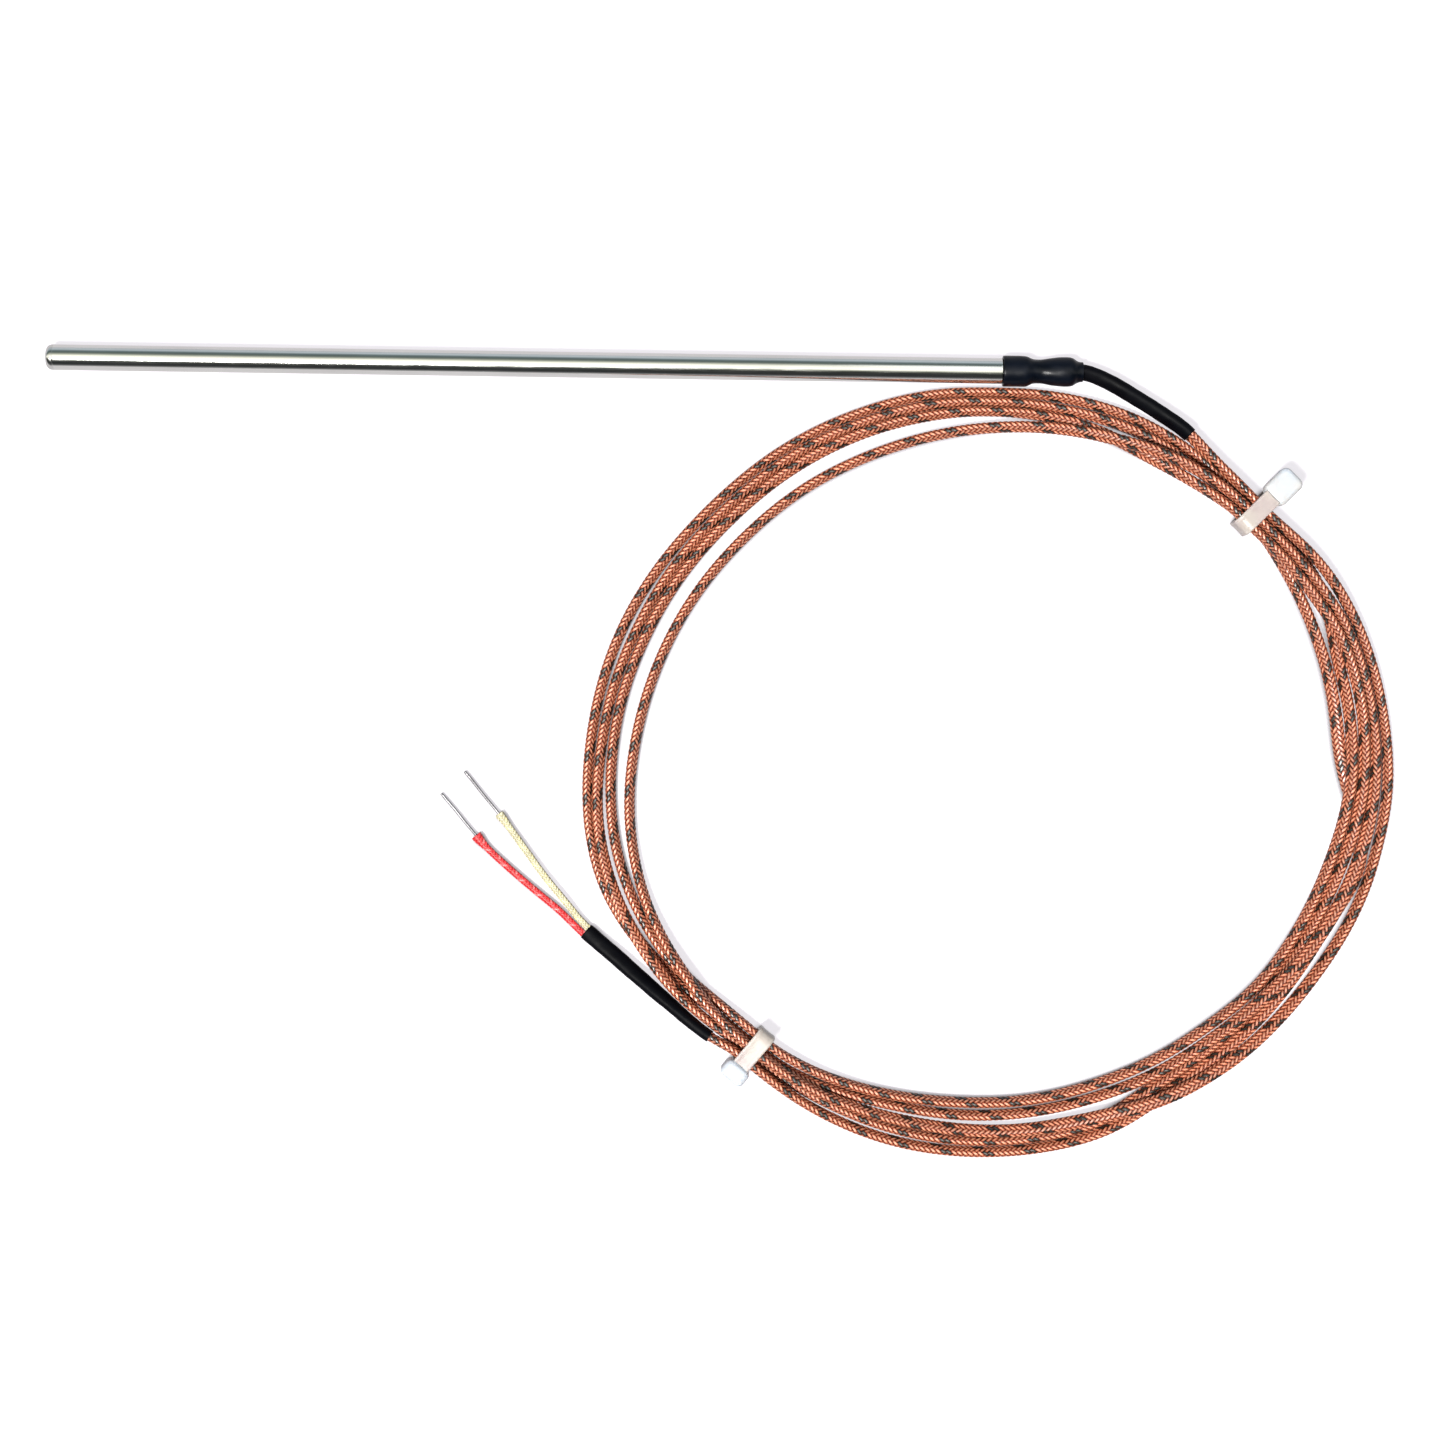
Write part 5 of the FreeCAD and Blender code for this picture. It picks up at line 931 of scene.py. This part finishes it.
def sleeve(name, start, end, seed):
    """Open-ended sleeve on the cable, with a wall, rounded lips and an uneven outside."""
    lip = 0.09 / (cable.length / cable.last)
    middle = np.linspace(start + lip, end - lip, max(8, int((end - start) / 0.06)))
    # station, share of the wall from inside to outside
    path = [(u, 1.0) for u in middle]
    path += [(end - 0.3 * lip, 0.93), (end, 0.72), (end, 0.3), (end - 0.3 * lip, 0.07)]
    path += [(u, 0.0) for u in middle[::-1]]
    path += [(start + 0.3 * lip, 0.07), (start, 0.3), (start, 0.72), (start + 0.3 * lip, 0.93)]
    stations, wall = np.array(path).T
    wall = wall[:, None]
    share = (np.arange(72) / 72)[None, :]
    out_across, out_along, normal_across, normal_along = oval(*SLEEVE_OUT)(share)
    in_across, in_along = oval(*SLEEVE_IN)(share)[:2]
    phase = np.random.default_rng(seed).uniform(0, 6.28, 8)
    arc, turn = stations[:, None] * CABLE_STEP, share * 2 * math.pi
    relief = wall * (0.016 * np.sin(0.9 * arc + phase[0]) * np.cos(turn + phase[1])
                     + 0.012 * np.sin(2.3 * arc + 2 * turn + phase[2])
                     + 0.008 * np.sin(5.1 * arc + phase[3]) * np.cos(3 * turn + phase[4])
                     + 0.010 * np.cos(4 * turn + 0.6 * arc + phase[5]))
    across = in_across + (out_across - in_across) * wall + normal_across * relief
    along = in_along + (out_along - in_along) * wall + normal_along * relief
    return grid(name, sweep_rings(cable, stations, across, along), shrink, closed=True)


ob = sleeve("strain_relief_sleeve_visual", station_at(200.4), SLEEVE_END, seed=3)
hand_over(ob, "strain_relief_sleeve", "black_heatshrink", *BEND)
ob = sleeve("lead_end_sleeve_visual", LEAD_SLEEVE_START, LEAD_SLEEVE_END, seed=5)
hand_over(ob, "lead_end_sleeve", "black_heatshrink", "coil")

# ------------------------------------------------------------------ over-braid
PITCH = 1.0625
BRAID_START = float(cable.arc(station_at(188.0)))


def row_of(arc):
    """Lattice row nearest to an arc length."""
    return int(round((arc - BRAID_START) / PITCH * ROWS_PER_PITCH))


def tie_crossings(angle):
    """Arc lengths where the cable passes under a tie at this angle round the coil."""
    stations = np.linspace(SLEEVE_END, BRAID_END, 20000)
    x, y = (cable.at(stations)[0][:, :2] - COIL).T
    off = (np.degrees(np.arctan2(y, x)) - angle + 180) % 360 - 180
    radius = np.hypot(x, y)[:-1]
    crossed = (off[:-1] * off[1:] <= 0) & (np.abs(off[:-1]) < 20) & (radius < 78) & (radius > 64)
    return [float(cable.arc(stations[i])) for i in np.where(crossed)[0]]


def cable_braid(name, start, end):
    return braid(name, cable, (row_of(start), row_of(end)), PITCH, BRAID_START, CABLE_SECTION,
                 carriers=8, high=0.095, base=-0.035, roundness=1.3, tracers=((0, 1), ()),
                 seed=11, material=copper, drift=0.25)


def span_edges():
    """Arc lengths that part the braid into spans; spans of 25 mm or less join the next."""
    cuts = sorted(tie_crossings(ANGLE_UPPER) + tie_crossings(ANGLE_LOWER))
    edges = [float(cable.arc(SLEEVE_END - 0.6))]
    edges += [cut for cut in cuts if cut > float(cable.arc(SLEEVE_END + 1.0))]
    edges.append(float(cable.arc(BRAID_END)))
    return edges[:1] + [b for a, b in zip(edges[:-1], edges[1:]) if b - a > 25.0]


edges = span_edges()
for i, (start, end) in enumerate(zip(edges[:-1], edges[1:])):
    span = cable_braid("braid_span_%d" % (i + 1), start, end)
    hand_over(span, "cable_braid", "copper_braid", "coil")

tail = cable_braid("braid_tail_visual", BRAID_START, float(cable.arc(SLEEVE_END - 0.62)))
hand_over(tail, "cable_braid_tail", "copper_braid", *BEND)


# ------------------------------------------------------------------ cores
def core_offset(station):
    x = CABLE[0][0] + station * CABLE_STEP
    offset = WIRE_OFFSET + (CORE_OFFSET - WIRE_OFFSET) * smooth((x - 182.8) / 4.6)
    to_mouth = smooth((station - BRAID_END) / (LEAD_SLEEVE_END - BRAID_END))
    return offset + (MOUTH_OFFSET - CORE_OFFSET) * to_mouth


def wire(name, stations, offset, material):
    turn = turns(16)[None, :]
    radius = np.full((len(stations), 1), 0.28)
    rings = sweep_rings(cable, stations, radius * np.cos(turn), radius * np.sin(turn), offset)
    return grid(name, rings, material)


def insulation(name, stations, offset, material):
    """Round tube, outside and then back along the bore."""
    turn = turns(20)[None, :]
    radius = np.repeat((0.48, 0.37), len(stations))[:, None]
    rings = sweep_rings(cable, np.r_[stations, stations[::-1]], radius * np.cos(turn),
                        radius * np.sin(turn), np.r_[offset, offset[::-1]])
    return grid(name, rings, material, closed=True)


def build_core(side, sign, fibre, metal, fibre_slot):
    """Each core is cut in two inside the first sleeve."""
    cut = SLEEVE_END - 0.3
    end = LEAD_SLEEVE_END - 0.1 / CABLE_STEP
    for build, kind, start_x, material, slot in (
            (insulation, "core_insulation_" + side, 176.4, fibre, fibre_slot),
            (wire, "core_wire_" + side, 171.1, metal, "alloy_wire")):
        for part, a, b, bodies in (("lead_in", station_at(start_x), cut, BEND),
                                   ("coil", cut, end, ("coil",))):
            stations = np.linspace(a, b, max(20, int((b - a) * 2)))
            ob = build(kind + "_" + part, stations, sign * core_offset(stations), material)
            hand_over(ob, kind, slot, *bodies)


build_core("negative", 1, core_red, wire_negative, "red_braid")
build_core("positive", -1, core_yellow, wire_positive, "yellow_braid")


# ------------------------------------------------------------------ free leads
def calmed(rows):
    """Rows drawn four fifths of the way to one smooth sweep, and started 0.4 mm earlier."""
    span = np.linalg.norm(rows[-1] - rows[0])
    share = np.linspace(0, 1, len(rows))[:, None]
    sweep = hermite(share, rows[0], unit(rows[3] - rows[0]) * span,
                    rows[-1], unit(rows[-1] - rows[-2]) * span)
    rows = rows + 0.8 * (sweep - rows)
    rows[0] -= 0.4 * unit(rows[1] - rows[0])
    return rows


def lead_wire_rings(line, last, sign):
    """Conductor inside the braid, then its bare, slightly wavy end and narrowed tip."""
    bare = 10.6
    turn = turns(28)[:, None]

    def ring(centre, narrow, wide, radius):
        return centre + radius * (np.cos(turn) * narrow + np.sin(turn) * wide)

    centres, aheads, narrows, wides = line.at(np.linspace(0.03, last, 60))
    rings = [ring(*axes, 0.268) for axes in zip(centres, narrows, wides)]
    mouth, ahead, narrow, wide = centres[-1], aheads[-1], narrows[-1], wides[-1]
    for q in np.linspace(0.25, bare, 40):
        wave = 0.035 * math.sin(q * 0.55 + sign) * min(1.0, q / 3.0) * min(1.0, (bare - q) / 2.0)
        radius = 0.262 if q > 10.5 else 0.28
        rings.append(ring(mouth + ahead * q + narrow * wave, narrow, wide, radius))
    rings.append(ring(mouth + ahead * bare, narrow, wide, 0.235))
    return rings


def build_lead(side, rows, sign, flare, fibre, metal, fibre_slot):
    """flare: how far the braid opens over its last 4 mm or so."""
    rows = calmed(rows)
    ahead = unit(rows[-1] - rows[-2])
    beyond = [rows[-1] + ahead * (1.5 * i) for i in (1, 2, 3)]
    line = Line(np.c_[np.r_[rows, beyond], np.zeros(len(rows) + 3)])
    last = len(rows) - 1.0
    total = float(line.arc(last))
    pitch = 0.74
    bodies = ("coil", "lead_" + side, point(line.centre(0.0)),
              point(line.centre(line.station(5.0))))
    ob = braid("lead_insulation_%s_visual" % side, line,
               (0, int(total / pitch * ROWS_PER_PITCH)), pitch, 0.0, (1.4, 1.4), carriers=6,
               high=0.05, base=-0.04, roundness=1.2, tracers=((2,), (5,)), seed=21 + sign,
               material=fibre, fan=1.6, lowest=TABLE_Z + 0.05,
               widen=lambda arc: 1.0 + flare * smooth((arc - (total - 4.2)) / 4.0) ** 1.4)
    hand_over(ob, "lead_insulation_" + side, fibre_slot, *bodies)
    ob = grid("lead_wire_%s_visual" % side, lead_wire_rings(line, last, sign), metal)
    hand_over(ob, "lead_wire_" + side, "alloy_wire", *bodies)


build_lead("negative", NEGATIVE_LEAD, 1, 0.55, lead_red, wire_negative, "red_braid")
build_lead("positive", POSITIVE_LEAD, -1, 0.32, lead_yellow, wire_positive, "yellow_braid")

# ------------------------------------------------------------------ cable ties
# Ties are drawn in the coil's own axes: x radial, y tangential, z up.
STRAP_WIDTH, STRAP_THICK = 3.6, 1.0
STRAP_BEND = 1.6
TIE_GAP = 0.12
HEAD_HALF_X, HEAD_HALF_Y, HEAD_CORNER = 3.3, 2.65, 1.35
TAIL_DEPTH = 0.66  # from the head's closed face to the strap's end


def rounded_path(points, radii):
    """Centre line through corner points in a plane, with round corners."""
    points = [np.array(p, float) for p in points]
    path = []
    start = points[0]

    def straight(end, **options):
        count = max(2, int(np.linalg.norm(end - start) / 0.18))
        return [start + (end - start) * t for t in np.linspace(0, 1, count, **options)]

    for before, corner, after, radius in zip(points, points[1:], points[2:], radii):
        back, on = unit(before - corner), unit(after - corner)
        centre = corner + (back + on) * radius
        path += straight(corner + back * radius, endpoint=False)
        path += [centre - on * radius * math.cos(t) - back * radius * math.sin(t)
                 for t in np.linspace(0, math.pi / 2, 9, endpoint=False)]
        start = corner + on * radius
    return np.array(path + straight(points[-1]))


def strap_rings(points, radii):
    """Strap with raised edges and a hollow middle; its inner face has fine teeth."""
    path = rounded_path(points, radii)
    tangent = unit(np.gradient(path, axis=0))
    normal = np.stack([-tangent[:, 1], tangent[:, 0]], -1)
    normal *= np.sign(((path - path.mean(0)) * normal).sum(1).mean())
    w, h, edge = STRAP_WIDTH / 2, STRAP_THICK / 2, 0.22
    soft = 0.3 * edge
    # across, height above the centre line; outer face, then inner face
    section = [
        (-w, 0.0), (-w, h - edge), (-w + soft, h - soft), (-w + edge, h), (-w + 0.55, h),
        (-w + 0.78, h - 0.07), (-0.6, h - 0.09), (0.0, h - 0.09), (0.6, h - 0.09),
        (w - 0.78, h - 0.07), (w - 0.55, h), (w - edge, h), (w - soft, h - soft),
        (w, h - edge), (w, 0.0),
        (w, -h + edge), (w - soft, -h + soft), (w - edge, -h), (w - 0.5, -h), (0.9, -h),
        (0.0, -h), (-0.9, -h), (-w + 0.5, -h), (-w + edge, -h), (-w + soft, -h + soft),
        (-w, -h + edge)]
    rings = []
    for place, out, arc in zip(path, normal, path_lengths(path)):
        tooth = 0.05 * (0.5 + 0.5 * math.sin(2 * math.pi * arc / 0.72))
        ring = []
        for y, height in section:
            if height == -h and abs(y) < 1.0:
                height += tooth
            x, z = place + out * height
            ring.append((x, y, z))
        rings.append(ring)
    return rings


def rounded_rectangle(centre_x, half_x, half_y, radius):
    arcs = []
    for way_x, way_y, first in ((1, 1, 0), (-1, 1, 90), (-1, -1, 180), (1, -1, 270)):
        turn = np.radians(first + 90 * np.arange(7) / 6)
        arcs.append(np.stack([centre_x + way_x * (half_x - radius) + radius * np.cos(turn),
                              way_y * (half_y - radius) + radius * np.sin(turn)], -1))
    share = np.arange(1, 6)[:, None] / 6
    parts = []
    for arc, after in zip(arcs, arcs[1:] + arcs[:1]):
        parts += [arc, arc[-1] + (after[0] - arc[-1]) * share]
    return np.concatenate(parts)


def head_rings(centre_x, slot_x, bottom, top):
    """Rounded block with a pocket for the strap's tail: rings from the pocket's closed end,
    out over the underside and up to the top."""
    edge, lip = 1.0, 0.025
    slot_x_half, slot_y_half, slot_corner = STRAP_THICK / 2 + 0.002, STRAP_WIDTH / 2 + 0.002, 0.06
    pocket_end = top - 0.6
    rings = []

    def ring(outline, z):
        rings.append(np.c_[outline, np.full(len(outline), z)])

    def block(inset, scale=1.0):
        return rounded_rectangle(centre_x, (HEAD_HALF_X - inset) * scale,
                                 (HEAD_HALF_Y - inset) * scale, (HEAD_CORNER - inset) * scale)

    def pocket(grow):
        return rounded_rectangle(slot_x, slot_x_half + grow, slot_y_half + grow,
                                 slot_corner + grow)

    for scale, corner in ((0.1, 0.01), (0.6, slot_corner * 0.6)):
        ring(rounded_rectangle(slot_x, slot_x_half * scale, slot_y_half * scale, corner),
             pocket_end)
    for z in np.linspace(pocket_end, bottom + lip * 1.6, 5):
        ring(pocket(0.0), z)
    for a in np.radians((90, 45)):
        ring(pocket(lip - lip * math.sin(a)), bottom + lip * (1 - math.cos(a)))
    for share in (1.0, 0.65, 0.3):
        ring(block(edge) + (pocket(lip) - block(edge)) * share, bottom)
    for a in np.radians((90, 60, 30)):
        ring(block(edge * (1 - math.cos(a))), bottom + edge - edge * math.sin(a))
    for z in np.linspace(bottom + edge, top - edge, 5):
        ring(block(0.0), z)
    for a in np.radians((15, 30, 45, 60, 75, 90)):
        ring(block(edge * (1 - math.cos(a))), top - edge + edge * math.sin(a))
    for scale in (0.7, 0.4, 0.1):
        ring(block(edge, scale), top + 0.04 * (1 - scale * scale))
    return np.array(rings)


def place_round_coil(points, angle):
    points = np.asarray(points, float)
    a = math.radians(angle)
    radial, tangential = points[..., 0], points[..., 1]
    x = COIL[0] + radial * math.cos(a) - tangential * math.sin(a)
    y = COIL[1] + radial * math.sin(a) + tangential * math.cos(a)
    return np.stack([x, y, points[..., 2]], -1)


def build_tie(name, path, radii, head, angle):
    strap = grid("tie_%s_strap" % name, place_round_coil(strap_rings(path, radii), angle),
                 nylon_strap_painted_braid_light)
    block = grid("tie_%s_head" % name, place_round_coil(head, angle), nylon_head)
    for other in bpy.context.selected_objects:
        other.select_set(False)
    for part in (strap, block):
        part.select_set(True)
    bpy.context.view_layer.objects.active = strap
    bpy.ops.object.join()
    strap.name = "cable_tie_%s_visual" % name
    hand_over(strap, "cable_tie_" + name, "natural_nylon", "coil")


def strap_lines(inner, low, high):
    """Strap centre lines inside the coil, below and above the bundle, from its bounds."""
    half = STRAP_THICK / 2
    return inner - TIE_GAP - half, low - TIE_GAP - half, high + TIE_GAP + half


def build_upper_tie():
    """Head outside the coil, with its pocket open downward."""
    inside, below, above = strap_lines(inner=68.28, low=-1.76, high=3.45)
    top = above + STRAP_THICK / 2
    head_start = 75.5
    slot = head_start + 2.1
    path = [(head_start + 0.4, above), (inside, above), (inside, below), (slot, below),
            (slot, top - TAIL_DEPTH)]
    head = head_rings(head_start + HEAD_HALF_X, slot, top - 3.8, top)
    build_tie("upper", path, [STRAP_BEND, STRAP_BEND, 1.3], head, ANGLE_UPPER)


def build_lower_tie():
    """Head outside the coil, on its side, with its pocket open toward the coil's middle."""
    inside, below, above = strap_lines(inner=67.90, low=-1.77, high=3.62)
    top = above + STRAP_THICK / 2 + 0.85
    head_start = 74.68 + TIE_GAP + 0.25
    head_end = head_start + 3.5
    path = [(head_start + 1.0, top - 2 * HEAD_HALF_X + 0.4), (head_start + 1.0, below),
            (inside, below), (inside, above), (head_end - TAIL_DEPTH, above)]
    head = head_rings(top - HEAD_HALF_X, above, head_start, head_end)[..., ::-1]
    build_tie("lower", path, [1.0, STRAP_BEND, STRAP_BEND], head, ANGLE_LOWER)


build_upper_tie()
build_lower_tie()


# ------------------------------------------------------------------ stage
def floor_material():
    """White floor that glows for the camera and darkens only close under the cable, as painted
    contact shade.
    """
    n = Nodes(bpy.data.materials.new("floor_white"))
    rays = n.new("ShaderNodeLightPath").outputs
    near = n.new("ShaderNodeAmbientOcclusion")
    near.samples = 8
    near.inputs["Distance"].default_value = 0.0012
    # ambient occlusion within 1.2 mm of the cable lowers the floor's camera glow and colour:
    # painted contact shade
    painted_contact_shade = n.remap(near.outputs["AO"], span=(0.25, 0.92), to=(0.04, 1.0))
    # glow: 0.62 for reflections, 0.08 for diffuse light, up to 0.76 for the camera, less close
    # under the cable as painted contact shade
    glow = n.scaled(rays["Is Camera Ray"], by=n.scaled(painted_contact_shade, by=0.76, plus=-0.62),
                    plus=0.62)
    glow = n.scaled(rays["Is Diffuse Ray"], by=-0.54, plus=glow)
    base = n.scaled(rays["Is Camera Ray"], by=n.scaled(painted_contact_shade, by=0.28, plus=-0.08),
                    plus=0.10)
    shade = n.new("ShaderNodeCombineColor")
    for socket, tint in zip(shade.inputs, (1.0, 0.975, 1.03)):
        n.put(socket, n.math("MULTIPLY", base, tint))
    return n.finish(Base_Color=shade.outputs[0], Roughness=0.7, Specular_IOR_Level=0.2,
                    Emission_Color=(0.985, 0.955, 1.0, 1.0), Emission_Strength=glow)


def build_floor():
    half, x, y, z = 2.2, 0.13, -0.07, TABLE_Z * MM - 0.0002
    corners = [(way_x * half + x, way_y * half + y, z)
               for way_x, way_y in ((-1, -1), (1, -1), (1, 1), (-1, 1))]
    mesh = bpy.data.meshes.new("floor")
    mesh.from_pydata(corners, [], [(0, 1, 2, 3)])
    floor = bpy.data.objects.new("floor", mesh)
    scene.collection.objects.link(floor)
    mesh.materials.append(floor_material())


# Studio surround: angle from straight up toward +Y in degrees, colour
SKY = [
    (-90, (0.50, 0.50, 0.50)), (-80, (0.16, 0.16, 0.17)), (-70, (0.035, 0.038, 0.04)),
    (-38, (0.03, 0.034, 0.032)), (-26, (0.12, 0.13, 0.10)), (-19, (0.75, 0.78, 0.66)),
    (-12, (1.5, 1.48, 1.36)), (8, (1.45, 1.45, 1.33)), (16, (1.0, 1.0, 0.86)),
    (24, (0.50, 0.53, 0.45)), (34, (0.18, 0.22, 0.20)), (47, (0.12, 0.16, 0.165)),
    (58, (0.22, 0.28, 0.30)), (68, (0.56, 0.64, 0.70)), (80, (0.62, 0.68, 0.74)),
    (90, (0.46, 0.50, 0.55))]


def build_world():
    scene.world = bpy.data.worlds.new("studio")
    n = Nodes(scene.world, "BACKGROUND")
    _, y, z = n.split(n.new("ShaderNodeTexCoord").outputs["Generated"])
    share = n.remap(n.math("ARCTAN2", y, z), span=(-math.pi / 2, math.pi / 2))
    ramp = n.new("ShaderNodeValToRGB")
    elements = ramp.color_ramp.elements
    while len(elements) < len(SKY):
        elements.new(0.5)
    for element, (angle, colour) in zip(elements, SKY):
        element.position = (angle + 90) / 180
        element.color = (*colour, 1.0)
    n.put(ramp.inputs[0], share)
    # diffuse light gets only 0.22 of the surround
    diffuse = n.new("ShaderNodeLightPath").outputs["Is Diffuse Ray"]
    n.finish(Color=ramp.outputs[0], Strength=n.scaled(diffuse, by=-0.78, plus=1.0))


def area(name, offset, size, power, colour):
    """Disk light aimed at the middle of the view."""
    centre = Vector((0.1327, -0.0693, 0.0))
    light = bpy.data.lights.new(name, "AREA")
    light.shape = "DISK"
    light.size = size
    light.energy = power
    light.color = colour
    ob = bpy.data.objects.new(name, light)
    scene.collection.objects.link(ob)
    location = centre + Vector(offset)
    ob.location = location
    ob.rotation_euler = (centre - location).to_track_quat("-Z", "Y").to_euler()


def build_camera():
    """Straight down from above, turned slightly about Z."""
    height, view_width, sensor = 0.52, 281.8, 36.0  # metres; mm at z = 0; mm
    data = bpy.data.cameras.new("camera")
    camera = bpy.data.objects.new("camera", data)
    scene.collection.objects.link(camera)
    camera.location = (0.13275, -0.06933, height)
    camera.rotation_euler = (0.0, 0.0, math.radians(0.84))
    data.sensor_width = sensor
    data.lens = sensor * (height * 1000) / view_width
    data.clip_start, data.clip_end = 0.01, 20.0
    scene.camera = camera


build_floor()
build_world()
area("key", offset=(-0.29, -0.32, 1.12), size=0.20, power=25.0, colour=(1.0, 0.985, 0.96))
area("fill", offset=(0.5, 0.5, 1.1), size=0.9, power=1.6, colour=(0.90, 0.92, 1.0))
build_camera()
scene.view_settings.view_transform = "Standard"
scene.view_settings.look = "None"
scene.view_settings.exposure = 0.0
